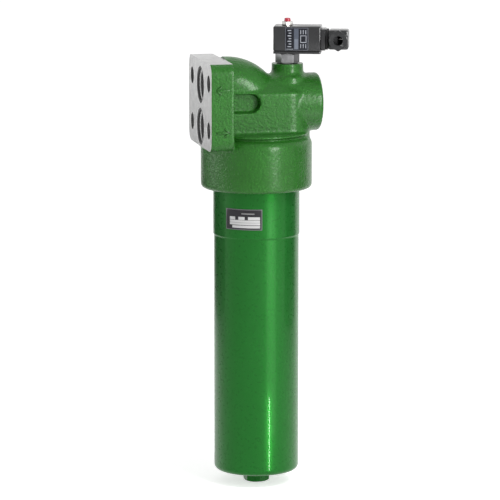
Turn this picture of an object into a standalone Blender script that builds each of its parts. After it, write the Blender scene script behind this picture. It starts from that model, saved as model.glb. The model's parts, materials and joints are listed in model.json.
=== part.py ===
"""Flange-mounted pressure filter with a clogging indicator, as the separate pieces it is assembled from.

Metres, +Z up. The origin lies on the mounting face, midway between the two ports: -X points out of that
face, and the filter bowl hangs down on a vertical axis behind it.
"""
import math

import bmesh
import bpy
from mathutils import Vector

mm = 0.001

# Clearances
touch = 0.3 * mm  # between pieces that bear on each other
slide = 0.4 * mm  # round a piece that slides or turns
thread_gap = 0.8 * mm  # round the bowl's threaded length
overrun = 2.0 * mm  # how far a cutter runs past the face it opens

# Sides of round shapes
big_sides = 36
mid_sides = 20
small_sides = 14
tiny_sides = 12
hole_sides = 8
ring_points = 6
edge_steps = 2  # across a small rounded edge
bend_steps = 7  # along the elbow
coil_steps = 8  # in one turn of a spring
passage_resolution = 8  # a passage has 4 + 2 of these sides

# Mounting flange
flange_thickness = 30.0 * mm
flange_width = 146.0 * mm
flange_top = 59.5 * mm
flange_bottom = -52.5 * mm
flange_corner = 15.0 * mm
port_spacing = 54.0 * mm
port_radius = 20.0 * mm
port_seal_radius = 22.0 * mm  # middle of the seal groove
port_seal_wire = 1.4 * mm
bolt_span_y = 105.0 * mm
bolt_span_z = 60.0 * mm
bolt_height = 3.5 * mm  # middle of the bolt pattern
bolt_hole_radius = 11.0 * mm
bolt_hole_depth = 25.0 * mm

# Head casting
bowl_axis_x = 74.0 * mm
collar_radius = 72.0 * mm
collar_bottom = -108.0 * mm
collar_top = -41.5 * mm
collar_top_round = 9.0 * mm
collar_bottom_round = 5.0 * mm
ring_radius = 68.0 * mm
ring_top = -34.5 * mm
ring_bottom = -38.0 * mm
ring_round = 2.0 * mm
waist_radius = 63.0 * mm
neck_half_width = 39.0 * mm
neck_top = 20.0 * mm
neck_root = 4.0 * mm  # depth of the neck in the collar
neck_end = 68.0 * mm  # from the bowl's axis
neck_corner = 22.0 * mm
barrel_radius = 37.5 * mm
barrel_height = 1.5 * mm
barrel_end = 81.0 * mm  # from the bowl's axis
elbow_radius = 35.5 * mm
elbow_bend = 40.0 * mm
pocket_low = -7.0 * mm
pocket_high = 17.5 * mm
pocket_end = -3.0 * mm  # from the bowl's axis
pocket_depth = 11.5 * mm
boss_radius = 20.5 * mm
boss_foot_radius = 24.5 * mm
boss_top = 52.0 * mm
boss_offset = 41.0 * mm  # from the bowl's axis

# Inside the head
chamber_radius = 52.0 * mm
chamber_top = -40.0 * mm
chamber_link_radius = 8.0 * mm  # passage from the bypass bore down to the chamber
chamber_bottom = -46.0 * mm
core_tube_radius = 30.0 * mm
core_tube_end = -44.0 * mm
spigot_seat_top = -28.0 * mm
mouth_depth = 7.0 * mm
mouth_gap = 2.4 * mm  # round the bowl at the collar's mouth
seal_bore_end = -66.0 * mm

# Bowl and its thread
bowl_radius = 55.0 * mm
bowl_wall = 10.0 * mm
band_step = 1.0 * mm  # how far the band stands out of the bowl
band_end = -168.6 * mm
bowl_bottom = -481.0 * mm
bowl_floor = 13.0 * mm
bowl_edge_round = 7.0 * mm
neck_clearance = 0.8 * mm  # bowl neck in the head's seal bore
bowl_seal_wire = 2.5 * mm
bowl_seal_height = -56.0 * mm
backup_ring_height = 2.0 * mm
hex_across = 30.0 * mm
hex_height = 16.0 * mm
hex_turn = math.radians(4.0)
plate_width = 50.0 * mm
plate_height = 27.0 * mm
plate_thickness = 0.6 * mm
plate_middle = -143.0 * mm
plate_azimuth = math.radians(-120.0)

# Drain plug
drain_radius = 9.5 * mm
drain_head_radius = 12.5 * mm
drain_head = 5.0 * mm
drain_seal = 1.2 * mm
drain_length = 17.0 * mm
drain_socket = 5.0 * mm

# Filter element and the nipple that it hangs on
spigot_bore = 17.0 * mm
spigot_radius = 22.0 * mm
spigot_shank_radius = 24.0 * mm
spigot_flange = 6.0 * mm
spigot_end = -76.0 * mm
element_radius = 39.0 * mm
element_top = -58.0 * mm
element_cap = 20.0 * mm
element_bottom = -440.0 * mm
element_base = 10.0 * mm
element_seal_wire = 1.8 * mm
element_core_radius = 25.0 * mm
element_core_wall = 2.0 * mm
core_slot_rows = 5
element_nub_radius = 11.0 * mm
element_nub = 6.0 * mm
pleat_count = 32
pleat_outer = 37.0 * mm
pleat_depth = 8.0 * mm
pleat_sheet = 1.8 * mm
support_spring_radius = 16.0 * mm
support_spring_wire = 1.3 * mm
support_spring_turns = 4

# Bypass valve in the barrel
bypass_wall = 34.0 * mm  # valve wall, from the bowl's axis
bypass_hole_radius = 14.0 * mm
bypass_bore_radius = 20.0 * mm
bypass_seat_bore = 9.5 * mm
bypass_seat_length = 16.0 * mm
bypass_flange_radius = 17.0 * mm
bypass_flange = 4.0 * mm
bypass_web = 6.0 * mm
bypass_flow_hole = 2.1 * mm
poppet_radius = 12.0 * mm
poppet_thickness = 4.5 * mm
poppet_stem = 3.5 * mm
bypass_spring_radius = 8.0 * mm
bypass_spring_wire = 0.9 * mm
bypass_spring_length = 18.0 * mm
bypass_spring_turns = 4
retainer_radius = 10.5 * mm
retainer_thickness = 4.0 * mm
plug_shank_radius = 22.4 * mm
plug_shank = 9.0 * mm
plug_head_radius = 27.4 * mm
plug_head = 5.0 * mm
plug_seal = 1.2 * mm
plug_socket = 8.0 * mm

# Indicator body
indicator_across = 27.0 * mm
indicator_turn = math.radians(17.7)
indicator_hex = 13.2 * mm
indicator_shank_radius = 9.6 * mm
indicator_nose_radius = 7.0 * mm
indicator_nose_end = 22.0 * mm
indicator_bore = 5.0 * mm
indicator_neck_radius = 8.5 * mm
indicator_neck = 7.0 * mm
indicator_seal_wire = 1.1 * mm
piston_length = 20.0 * mm
piston_low = 30.0 * mm
magnet_length = 3.5 * mm
piston_travel = 4.0 * mm
piston_spring_wire = 0.45 * mm
piston_spring_turns = 3
stop_ring_thickness = 1.4 * mm
swivel_ring_radius = 11.5 * mm
swivel_ring_thickness = 1.0 * mm
swivel_groove = 0.9 * mm

# Switch housing
switch_yaw = math.radians(-17.6)
switch_back = -17.0 * mm
switch_front = 44.0 * mm
switch_depth = 35.0 * mm
switch_top = 101.0 * mm
switch_base_thickness = 3.0 * mm
switch_wall = 2.5 * mm
switch_round = 1.5 * mm
name_plate_width = 29.5 * mm
name_plate_height = 29.0 * mm
name_plate_thickness = 0.6 * mm
reed_length = 16.0 * mm
reed_width = 9.0 * mm
reed_height = 9.0 * mm
bezel_across = 14.0 * mm
bezel_height = 5.0 * mm
bezel_shank_radius = 6.0 * mm
bezel_shank = 9.0 * mm
button_radius = 4.1 * mm
button_rise = 4.2 * mm
button_travel = 4.0 * mm
button_flange_radius = 5.8 * mm
button_flange = 1.6 * mm
button_stem = 2.8 * mm
button_spring_radius = 4.6 * mm
button_spring_wire = 0.4 * mm
button_spring_turns = 4

# Plug connector on the switch housing
plug_width = 27.0 * mm
plug_tall = 25.2 * mm
plug_middle = 83.6 * mm
socket_plate = 5.5 * mm
socket_lip = 1.2 * mm  # how far the socket's plate stands out round the plug
socket_window = 12.0 * mm
socket_block = 17.0 * mm
socket_block_height = 3.0 * mm
pin_width = 4.0 * mm
pin_thickness = 1.0 * mm
pin_length = 11.0 * mm
pin_offset = 4.4 * mm
gasket_thickness = 3.0 * mm
gasket_frame = 3.5 * mm
cap_length = 26.0 * mm
cap_wall = 2.5 * mm
cap_end_wall = 5.0 * mm
cap_round = 2.5 * mm
insert_length = 12.0 * mm
insert_width = 14.8 * mm
insert_tall = 16.0 * mm
screw_radius = 1.5 * mm
screw_head_radius = 3.5 * mm
screw_head = 2.6 * mm
screw_grip = 4.0 * mm  # how far the screw reaches into the socket
gland_x = 13.5 * mm  # gland's axis, from the cap's open end
gland_across = 24.0 * mm
gland_head = 5.5 * mm
gland_hole = 6.2 * mm
gland_boss_radius = 10.5 * mm
gland_boss = 2.7 * mm
gland_bore = 8.2 * mm
gland_shank = 2.6 * mm
gland_washer = 1.0 * mm
gland_seal = 2.5 * mm
gland_floor = 1.5 * mm

# Finishes: colour, roughness, metallic
green_paint = ((0.023, 0.155, 0.030), 0.35, 0.0)
bare_steel = ((0.45, 0.46, 0.48), 0.35, 1.0)
spring_steel = ((0.32, 0.32, 0.33), 0.40, 1.0)
nickel = ((0.75, 0.74, 0.72), 0.18, 1.0)
brass = ((0.72, 0.52, 0.22), 0.30, 1.0)
black_plastic = ((0.028, 0.028, 0.030), 0.45, 0.0)
grey_plastic = ((0.16, 0.16, 0.17), 0.50, 0.0)
red_plastic = ((0.55, 0.02, 0.03), 0.35, 0.0)
black_rubber = ((0.015, 0.015, 0.015), 0.70, 0.0)
white_plastic = ((0.70, 0.70, 0.66), 0.55, 0.0)
label_foil = ((0.050, 0.048, 0.052), 0.45, 0.0)
filter_cloth = ((0.62, 0.60, 0.52), 0.85, 0.0)
magnet_grey = ((0.10, 0.10, 0.11), 0.40, 0.6)

quarter = math.pi / 2
along_x = (0.0, quarter, 0.0)  # turns a piece's own Z axis to +X
along_minus_y = (quarter, 0.0, 0.0)  # turns a piece's own Z axis to -Y


def clear_scene():
    for obj in list(bpy.data.objects):
        bpy.data.objects.remove(obj, do_unlink=True)


def new_collection(name):
    collection = bpy.data.collections.new(name)
    bpy.context.scene.collection.children.link(collection)
    return collection


clear_scene()
parts = new_collection("pressure_filter")
cutters = new_collection("cutters")


def finish_material(name, finish):
    colour, roughness, metallic = finish
    material = bpy.data.materials.new(name + "_finish")
    material.use_nodes = True
    shader = material.node_tree.nodes["Principled BSDF"]
    shader.inputs["Base Color"].default_value = (*colour, 1.0)
    shader.inputs["Roughness"].default_value = roughness
    shader.inputs["Metallic"].default_value = metallic
    material.diffuse_color = (*colour, 1.0)
    return material


def add(name, mesh, finish, at=(0, 0, 0), turn=(0, 0, 0), parent=None):
    """Puts a mesh in the scene: a part if it has a finish, otherwise a cutter."""
    obj = bpy.data.objects.new(name, mesh)
    obj.location = at
    obj.rotation_euler = turn
    obj.parent = parent
    if finish is None:
        obj.hide_render = True
        obj.display_type = "WIRE"
        cutters.objects.link(obj)
    else:
        mesh.materials.append(finish_material(name, finish))
        parts.objects.link(obj)
    return obj


def turned(name, outline, finish, sides, **place):
    """An outline of (radius, height) points turned about Z. It runs down the outer side first."""
    on_axis = outline[0][0] == 0.0 and outline[-1][0] == 0.0
    count = len(outline)
    edges = [(i, i + 1) for i in range(count - 1)]
    if not on_axis:
        edges.append((count - 1, 0))
    mesh = bpy.data.meshes.new(name)
    mesh.from_pydata([(radius, 0.0, height) for radius, height in outline], edges, [])
    obj = add(name, mesh, finish, **place)
    screw = obj.modifiers.new("Turn", "SCREW")
    screw.steps = sides
    screw.render_steps = sides
    screw.use_merge_vertices = True
    screw.merge_threshold = 0.01 * mm
    screw.use_smooth_shade = True
    return obj


def arc(centre, radius, start, end, steps):
    """Points of an arc in the (radius, height) plane, with angles in degrees from +radius."""
    points = []
    for i in range(steps + 1):
        angle = math.radians(start + (end - start) * i / steps)
        points.append((centre[0] + radius * math.cos(angle), centre[1] + radius * math.sin(angle)))
    return points


def disc(outer, low, high, inner=0.0):
    """The outline of a plain disc or, with an inner radius, of a tube."""
    if inner == 0.0:
        return [(0.0, high), (outer, high), (outer, low), (0.0, low)]
    return [(inner, high), (outer, high), (outer, low), (inner, low)]


def prism(name, across, low, high, finish, **place):
    """A hexagonal prism along Z."""
    radius = across / math.sqrt(3.0)
    grid = bmesh.new()
    bmesh.ops.create_cone(grid, cap_ends=True, segments=6, radius1=radius, radius2=radius, depth=high - low)
    bmesh.ops.translate(grid, verts=grid.verts, vec=(0, 0, (low + high) / 2))
    mesh = bpy.data.meshes.new(name)
    grid.to_mesh(mesh)
    grid.free()
    return add(name, mesh, finish, **place)


def block(name, low, high, finish, round_axes="", radius=0.0, steps=4, **place):
    """A box between two corners. The edges that run along round_axes are rounded."""
    low = Vector(low)
    high = Vector(high)
    grid = bmesh.new()
    bmesh.ops.create_cube(grid, size=1.0)
    bmesh.ops.scale(grid, verts=grid.verts, vec=high - low)
    bmesh.ops.translate(grid, verts=grid.verts, vec=(low + high) / 2)
    chosen = []
    for edge in grid.edges:
        run = edge.verts[1].co - edge.verts[0].co
        axis = max(range(3), key=lambda i: abs(run[i]))
        if "XYZ"[axis] in round_axes:
            chosen.append(edge)
    if chosen:
        bmesh.ops.bevel(grid, geom=chosen, offset=radius, segments=steps, profile=0.5, affect="EDGES")
    mesh = bpy.data.meshes.new(name)
    grid.to_mesh(mesh)
    grid.free()
    return add(name, mesh, finish, **place)


def wire_mesh(name, points, radius, resolution):
    """A tube along points, as a closed mesh."""
    curve = bpy.data.curves.new(name, "CURVE")
    curve.dimensions = "3D"
    curve.bevel_depth = radius
    curve.bevel_resolution = resolution
    curve.use_fill_caps = True
    spline = curve.splines.new("POLY")
    spline.points.add(len(points) - 1)
    for point, place in zip(spline.points, points):
        point.co = (*place, 1.0)
    return mesh_of_curve(name, curve)


def mesh_of_curve(name, curve):
    helper = bpy.data.objects.new(name + "_curve", curve)
    cutters.objects.link(helper)
    graph = bpy.context.evaluated_depsgraph_get()
    mesh = bpy.data.meshes.new_from_object(helper.evaluated_get(graph))
    bpy.data.objects.remove(helper, do_unlink=True)
    mesh.name = name
    mesh.materials.clear()
    grid = bmesh.new()
    grid.from_mesh(mesh)
    bmesh.ops.remove_doubles(grid, verts=grid.verts, dist=0.001 * mm)
    bmesh.ops.recalc_face_normals(grid, faces=grid.faces)
    grid.to_mesh(mesh)
    grid.free()
    return mesh


def coil(name, radius, wire, low, high, turns, **place):
    """A spring along Z. low and high are the ends of the wire's middle line, plus half a wire."""
    count = turns * coil_steps
    rise = high - low - 2 * wire
    points = []
    for i in range(count + 1):
        angle = 2 * math.pi * i / coil_steps
        points.append((radius * math.cos(angle), radius * math.sin(angle), low + wire + rise * i / count))
    return add(name, wire_mesh(name, points, wire, 1), spring_steel, **place)


def ring_seal(name, radius, wire, height, sides, **place):
    """An O-ring."""
    last = 360 / ring_points - 270
    outline = arc((radius, height), wire, 90, last, ring_points - 1)
    return turned(name, outline, black_rubber, sides, **place)


def boolean(obj, tool, operation):
    modifier = obj.modifiers.new(tool.name, "BOOLEAN")
    modifier.operation = operation
    modifier.solver = "EXACT"
    modifier.object = tool


def join(obj, *tools):
    for tool in tools:
        boolean(obj, tool, "UNION")


def cut(obj, *tools):
    for tool in tools:
        boolean(obj, tool, "DIFFERENCE")


def elbow_points(start, end):
    """The outlet passage's middle line: along +X from start, round the bend and down to end."""
    height = port_spacing / 2
    bend_x = bowl_axis_x - elbow_bend
    points = [(start, 0.0, height), (bend_x, 0.0, height)]
    for i in range(1, bend_steps + 1):
        angle = quarter * i / bend_steps
        across = bend_x + elbow_bend * math.sin(angle)
        points.append((across, 0.0, height - elbow_bend * (1 - math.cos(angle))))
    points.append((bowl_axis_x, 0.0, end))
    return points


# Places that several pieces share
on_bowl_axis = (bowl_axis_x, 0.0, 0.0)
on_barrel_axis = (bowl_axis_x, 0.0, barrel_height)
indicator_x = bowl_axis_x + boss_offset
on_indicator_axis = (indicator_x, 0.0, 0.0)
port_heights = {"outlet": port_spacing / 2, "inlet": -port_spacing / 2}
neck_bore = bowl_radius + 2 * neck_clearance  # head's seal bore
head_reach = bowl_axis_x - max(collar_radius, ring_radius)  # nearest the round body comes to the face
face_start = min(0.0, head_reach) - overrun  # where cuts from the mounting face begin
bowl_neck = bowl_radius
band_radius = bowl_radius + band_step
thread_bore = band_radius + thread_gap
mouth_radius = band_radius + mouth_gap
bowl_top = chamber_bottom - touch
drain_seat = bowl_bottom - hex_height + drain_head + drain_seal + 3 * touch


def head_outside():
    """The casting before its passages: collar, ring, neck, barrel, elbow, indicator boss and flange."""
    r_top = collar_top_round
    r_low = collar_bottom_round
    outline = [(0.0, ring_top)]
    outline += arc((ring_radius - ring_round, ring_top - ring_round), ring_round, 90, 0, 3)
    outline += [(ring_radius, ring_bottom), (waist_radius, ring_bottom - touch), (waist_radius, collar_top)]
    outline += arc((collar_radius - r_top, collar_top - r_top), r_top, 90, 0, 3)[1:]
    outline += arc((collar_radius - r_low, collar_bottom + r_low), r_low, 0, -90, 2)
    outline += [(0.0, collar_bottom)]
    head = turned("filter_head", outline, green_paint, big_sides, at=on_bowl_axis)
    neck_bottom = collar_top - neck_root
    neck_low = (flange_thickness / 2, -neck_half_width, neck_bottom)
    neck_high = (bowl_axis_x + neck_end, neck_half_width, neck_top)
    neck = block("neck", neck_low, neck_high, None)
    corner_cut = block(
        "neck_corners",
        (-bowl_axis_x - neck_end, -neck_half_width, neck_bottom - overrun),
        (bowl_axis_x + neck_end, neck_half_width, flange_top),
        None,
        "Z",
        neck_corner,
    )
    boolean(neck, corner_cut, "INTERSECT")
    barrel = turned(
        "barrel", disc(barrel_radius, 2 * touch, barrel_end), None, big_sides, at=on_barrel_axis, turn=along_x
    )
    elbow_start = flange_thickness - touch
    elbow_line = elbow_points(elbow_start, neck_bottom)
    elbow_mesh = wire_mesh("elbow", elbow_line, elbow_radius, passage_resolution)
    elbow = add("elbow", elbow_mesh, None)
    foot = barrel_height + barrel_radius
    boss = turned(
        "boss",
        [(0.0, boss_top), (boss_radius, boss_top), (boss_radius, foot + (boss_top - foot) / 2)]
        + [(boss_foot_radius, foot), (boss_foot_radius, barrel_height), (0.0, barrel_height)],
        None,
        mid_sides,
        at=on_indicator_axis,
    )
    flange = block(
        "flange",
        (0.0, -flange_width / 2, flange_bottom),
        (flange_thickness, flange_width / 2, flange_top),
        None,
        "X",
        flange_corner,
    )
    join(head, neck, barrel, elbow, boss, flange)
    return head


def head_passages(head):
    """Everything cut out of the casting."""
    for side in (-1, 1):
        face = side * (neck_half_width + overrun)
        floor = side * (neck_half_width - pocket_depth)
        low = (flange_thickness + touch, min(face, floor), pocket_low)
        high = (bowl_axis_x + pocket_end, max(face, floor), pocket_high)
        pocket = block(f"pocket_{side}", low, high, None)
        round_low = (-high[0], low[1], low[2])
        end_round = 0.49 * (pocket_high - pocket_low)
        rounding = block(f"pocket_round_{side}", round_low, high, None, "Y", end_round)
        boolean(pocket, rounding, "INTERSECT")
        cut(head, pocket)
    chamber = disc(chamber_radius, chamber_bottom - overrun, chamber_top, core_tube_radius)
    cut(head, turned("chamber", chamber, None, big_sides, at=on_bowl_axis))
    bowl_room = [(0.0, core_tube_end), (core_tube_radius + overrun, core_tube_end)]
    bowl_room += [(core_tube_radius + overrun, chamber_bottom), (neck_bore, chamber_bottom)]
    bowl_room += [(neck_bore, seal_bore_end), (thread_bore, seal_bore_end)]
    bowl_room += [(thread_bore, collar_bottom + mouth_depth), (mouth_radius, collar_bottom + mouth_depth)]
    bowl_room += [(mouth_radius, collar_bottom - overrun), (0.0, collar_bottom - overrun)]
    cut(head, turned("bowl_room", bowl_room, None, big_sides, at=on_bowl_axis))
    outlet_line = elbow_points(face_start, spigot_seat_top - overrun)
    outlet_mesh = wire_mesh("outlet", outlet_line, port_radius, passage_resolution)
    cut(head, add("outlet", outlet_mesh, None))
    seat = disc(spigot_shank_radius + slide, core_tube_end - overrun, spigot_seat_top)
    cut(head, turned("spigot_seat", seat, None, mid_sides, at=on_bowl_axis))
    inlet_reach = bowl_axis_x - core_tube_radius - overrun
    inlet = disc(port_radius, face_start, inlet_reach)
    cut(head, turned("inlet", inlet, None, mid_sides, at=(0, 0, port_heights["inlet"]), turn=along_x))
    groove = port_seal_wire + touch
    for name, height in port_heights.items():
        outline = disc(port_seal_radius + groove, face_start, 2 * groove, port_seal_radius - groove)
        cut(head, turned(name + "_groove", outline, None, mid_sides, at=(0, 0, height), turn=along_x))
    for i in (-1, 1):
        for j in (-1, 1):
            at = (0.0, i * bolt_span_y / 2, bolt_height + j * bolt_span_z / 2)
            hole = disc(bolt_hole_radius, face_start, bolt_hole_depth)
            cut(head, turned(f"bolt_hole_{i}_{j}", hole, None, small_sides, at=at, turn=along_x))
    plug_seat = barrel_end - plug_head - plug_seal - 3 * touch
    bore = [(0.0, barrel_end + overrun), (plug_head_radius + slide, barrel_end + overrun)]
    bore += [(plug_head_radius + slide, plug_seat), (plug_shank_radius + slide, plug_seat)]
    bore += [(plug_shank_radius + slide, plug_seat - plug_shank - touch)]
    bore += [(bypass_bore_radius, plug_seat - plug_shank - touch), (bypass_bore_radius, bypass_wall)]
    bore += [(bypass_hole_radius, bypass_wall), (bypass_hole_radius, overrun), (0.0, overrun)]
    cut(head, turned("bypass_bore", bore, None, mid_sides, at=on_barrel_axis, turn=along_x))
    link_at = (bowl_axis_x + (core_tube_radius + chamber_radius) / 2, 0.0, 0.0)
    link = disc(chamber_link_radius, chamber_top - overrun, barrel_height)
    cut(head, turned("chamber_link", link, None, small_sides, at=link_at))
    seal_seat = boss_top - 2 * indicator_seal_wire
    seal_room = indicator_shank_radius + 3 * indicator_seal_wire
    tap = [(0.0, boss_top + overrun), (seal_room, boss_top + overrun), (seal_room, seal_seat)]
    tap += [(indicator_shank_radius + slide, seal_seat)]
    tap += [(indicator_shank_radius + slide, barrel_height), (0.0, barrel_height)]
    cut(head, turned("indicator_tap", tap, None, small_sides, at=on_indicator_axis))


def make_head():
    head = head_outside()
    head_passages(head)
    for name, height in port_heights.items():
        deep = port_seal_wire + touch
        place = {"at": (0, 0, height), "turn": along_x}
        ring_seal(name + "_port_seal", port_seal_radius, port_seal_wire, deep, mid_sides, **place)
    top = spigot_seat_top - touch
    flange_high = core_tube_end - touch
    flange_low = flange_high - spigot_flange
    outline = [(spigot_bore, top), (spigot_shank_radius, top), (spigot_shank_radius, flange_high)]
    outline += [(core_tube_radius, flange_high), (core_tube_radius, flange_low), (spigot_radius, flange_low)]
    outline += [(spigot_radius, spigot_end), (spigot_bore, spigot_end)]
    turned("outlet_spigot", outline, bare_steel, mid_sides, at=on_bowl_axis)


def make_bypass():
    place = {"at": on_barrel_axis, "turn": along_x}
    flange_low = bypass_wall + touch
    flange_high = flange_low + bypass_flange
    tip = bypass_wall - bypass_seat_length
    web_low = flange_high - bypass_web
    outline = [(poppet_stem + slide, flange_high), (bypass_flange_radius, flange_high)]
    outline += [(bypass_flange_radius, flange_low), (bypass_hole_radius - slide, flange_low)]
    outline += [(bypass_hole_radius - slide, tip), (bypass_seat_bore, tip), (bypass_seat_bore, web_low)]
    outline += [(poppet_stem + slide, web_low)]
    seat = turned("bypass_seat", outline, bare_steel, mid_sides, **place)
    flow_circle = (bypass_seat_bore + poppet_stem) / 2
    for i in range(4):
        angle = quarter * (i + 0.5)
        hole = turned(
            f"flow_hole_{i}",
            disc(bypass_flow_hole, web_low - overrun, flange_high + overrun),
            None,
            hole_sides,
            at=(
                on_barrel_axis[0],
                flow_circle * math.cos(angle),
                barrel_height + flow_circle * math.sin(angle),
            ),
            turn=along_x,
        )
        cut(seat, hole)
    spring_low = flange_high + touch
    spring_high = spring_low + bypass_spring_length
    head_high = tip - touch
    head_low = head_high - poppet_thickness
    stem_end = spring_high + 2 * touch + retainer_thickness
    outline = [(0.0, stem_end), (poppet_stem, stem_end), (poppet_stem, head_high), (poppet_radius, head_high)]
    outline += [(poppet_radius, head_high - poppet_thickness / 2), (poppet_stem, head_low), (0.0, head_low)]
    turned("bypass_poppet", outline, bare_steel, mid_sides, **place)
    retainer = disc(retainer_radius, spring_high + touch, stem_end, poppet_stem + touch)
    turned("bypass_retainer", retainer, bare_steel, small_sides, **place)
    coil(
        "bypass_spring",
        bypass_spring_radius,
        bypass_spring_wire,
        spring_low,
        spring_high,
        bypass_spring_turns,
        **place,
    )
    seat_face = barrel_end - plug_head - plug_seal - 3 * touch
    seal_low = seat_face + touch
    head_face = seal_low + plug_seal + touch
    plug_end = head_face + plug_head
    outline = [(0.0, plug_end), (plug_head_radius, plug_end), (plug_head_radius, head_face)]
    outline += [(plug_shank_radius, head_face), (plug_shank_radius, seat_face - plug_shank)]
    outline += [(0.0, seat_face - plug_shank)]
    plug = turned("bypass_plug", outline, bare_steel, mid_sides, **place)
    socket_floor = plug_end - plug_head
    cut(plug, prism("bypass_plug_socket", 2 * plug_socket, socket_floor, plug_end + overrun, None, **place))
    washer = disc(plug_head_radius, seal_low, seal_low + plug_seal, plug_shank_radius + slide)
    turned("bypass_plug_seal", washer, black_rubber, mid_sides, **place)


def make_bowl():
    inner = bowl_radius - bowl_wall
    groove_high = bowl_seal_height + bowl_seal_wire + touch
    groove_low = bowl_seal_height - bowl_seal_wire - backup_ring_height - 2 * touch
    groove_floor = neck_bore - 2 * bowl_seal_wire - 3 * touch
    round_at = (bowl_radius - bowl_edge_round, bowl_bottom + bowl_edge_round)
    outline = [(0.0, bowl_top), (bowl_neck, bowl_top), (bowl_neck, groove_high), (groove_floor, groove_high)]
    outline += [(groove_floor, groove_low), (bowl_neck, groove_low), (bowl_neck, seal_bore_end - touch)]
    outline += [(band_radius, seal_bore_end - 2 * (band_radius - bowl_neck)), (band_radius, band_end)]
    outline += [(bowl_radius, band_end - (band_radius - bowl_radius))]
    outline += arc(round_at, bowl_edge_round, 0, -90, 3)
    outline += [(0.0, bowl_bottom)]
    bowl = turned("filter_bowl", outline, green_paint, big_sides, at=on_bowl_axis)
    inside_low = bowl_bottom + bowl_floor
    inside_round = bowl_edge_round
    inside = [(0.0, bowl_top + overrun), (inner, bowl_top + overrun)]
    inside += arc((inner - inside_round, inside_low + inside_round), inside_round, 0, -90, 2)
    inside += [(0.0, inside_low)]
    hexagon = {"at": on_bowl_axis, "turn": (0.0, 0.0, hex_turn)}
    join(bowl, prism("bowl_hex", hex_across, bowl_bottom - hex_height, inside_low - touch, None, **hexagon))
    cut(bowl, turned("bowl_inside", inside, None, big_sides, at=on_bowl_axis))
    drain = [(0.0, inside_low + overrun), (drain_radius + slide, inside_low + overrun)]
    drain += [(drain_radius + slide, drain_seat), (drain_head_radius + slide, drain_seat)]
    drain += [(drain_head_radius + slide, bowl_bottom - hex_height - overrun)]
    drain += [(0.0, bowl_bottom - hex_height - overrun)]
    cut(bowl, turned("drain_bore", drain, None, small_sides, at=on_bowl_axis))
    seal_radius = groove_floor + touch + bowl_seal_wire
    ring_seal("bowl_seal", seal_radius, bowl_seal_wire, bowl_seal_height, big_sides, at=on_bowl_axis)
    ring_high = bowl_seal_height - bowl_seal_wire - touch
    ring = disc(neck_bore - 2 * touch, ring_high - backup_ring_height, ring_high, groove_floor + touch)
    turned("bowl_backup_ring", ring, white_plastic, big_sides, at=on_bowl_axis)
    make_data_plate()
    spring_low = inside_low + touch
    spring_high = element_bottom - touch
    coil(
        "support_spring",
        support_spring_radius,
        support_spring_wire,
        spring_low,
        spring_high,
        support_spring_turns,
        at=on_bowl_axis,
    )


def make_data_plate():
    """A curved plate on the bowl's band: a ring cut down to the plate's width."""
    foot = band_radius + touch
    low = plate_middle - plate_height / 2
    ring = disc(foot + plate_thickness, low, low + plate_height, foot)
    plate = turned("data_plate", ring, label_foil, big_sides, at=on_bowl_axis)
    half_angle = plate_width / foot / 2
    reach = 2 * band_radius
    wedge = bpy.data.meshes.new("plate_wedge")
    grid = bmesh.new()
    edges = [plate_azimuth - half_angle, plate_azimuth + half_angle]
    corners = [(0.0, 0.0)] + [(reach * math.cos(angle), reach * math.sin(angle)) for angle in edges]
    base = grid.faces.new([grid.verts.new((x, y, low - overrun)) for x, y in corners])
    grown = bmesh.ops.extrude_face_region(grid, geom=[base])
    top = [item for item in grown["geom"] if isinstance(item, bmesh.types.BMVert)]
    bmesh.ops.translate(grid, verts=top, vec=(0, 0, plate_height + 2 * overrun))
    bmesh.ops.recalc_face_normals(grid, faces=grid.faces)
    grid.to_mesh(wedge)
    grid.free()
    boolean(plate, add("plate_wedge", wedge, None, at=on_bowl_axis), "INTERSECT")


def make_drain():
    seal_high = drain_seat - touch
    head_high = seal_high - drain_seal - touch
    head_low = head_high - drain_head
    outline = [(0.0, drain_seat + drain_length), (drain_radius, drain_seat + drain_length)]
    outline += [(drain_radius, head_high), (drain_head_radius, head_high), (drain_head_radius, head_low)]
    outline += [(0.0, head_low)]
    plug = turned("drain_plug", outline, bare_steel, small_sides, at=on_bowl_axis)
    socket = prism("drain_socket", 2 * drain_socket, head_low - overrun, head_high, None, at=on_bowl_axis)
    cut(plug, socket)
    washer = disc(drain_head_radius, seal_high - drain_seal, seal_high, drain_radius + touch)
    turned("drain_seal", washer, brass, small_sides, at=on_bowl_axis)


def star(radius):
    """A pleated outline round Z, between radius and radius - pleat_depth."""
    points = []
    for i in range(2 * pleat_count):
        reach = radius if i % 2 == 0 else radius - pleat_depth
        angle = math.pi * i / pleat_count
        points.append((reach * math.cos(angle), reach * math.sin(angle)))
    return points


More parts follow.
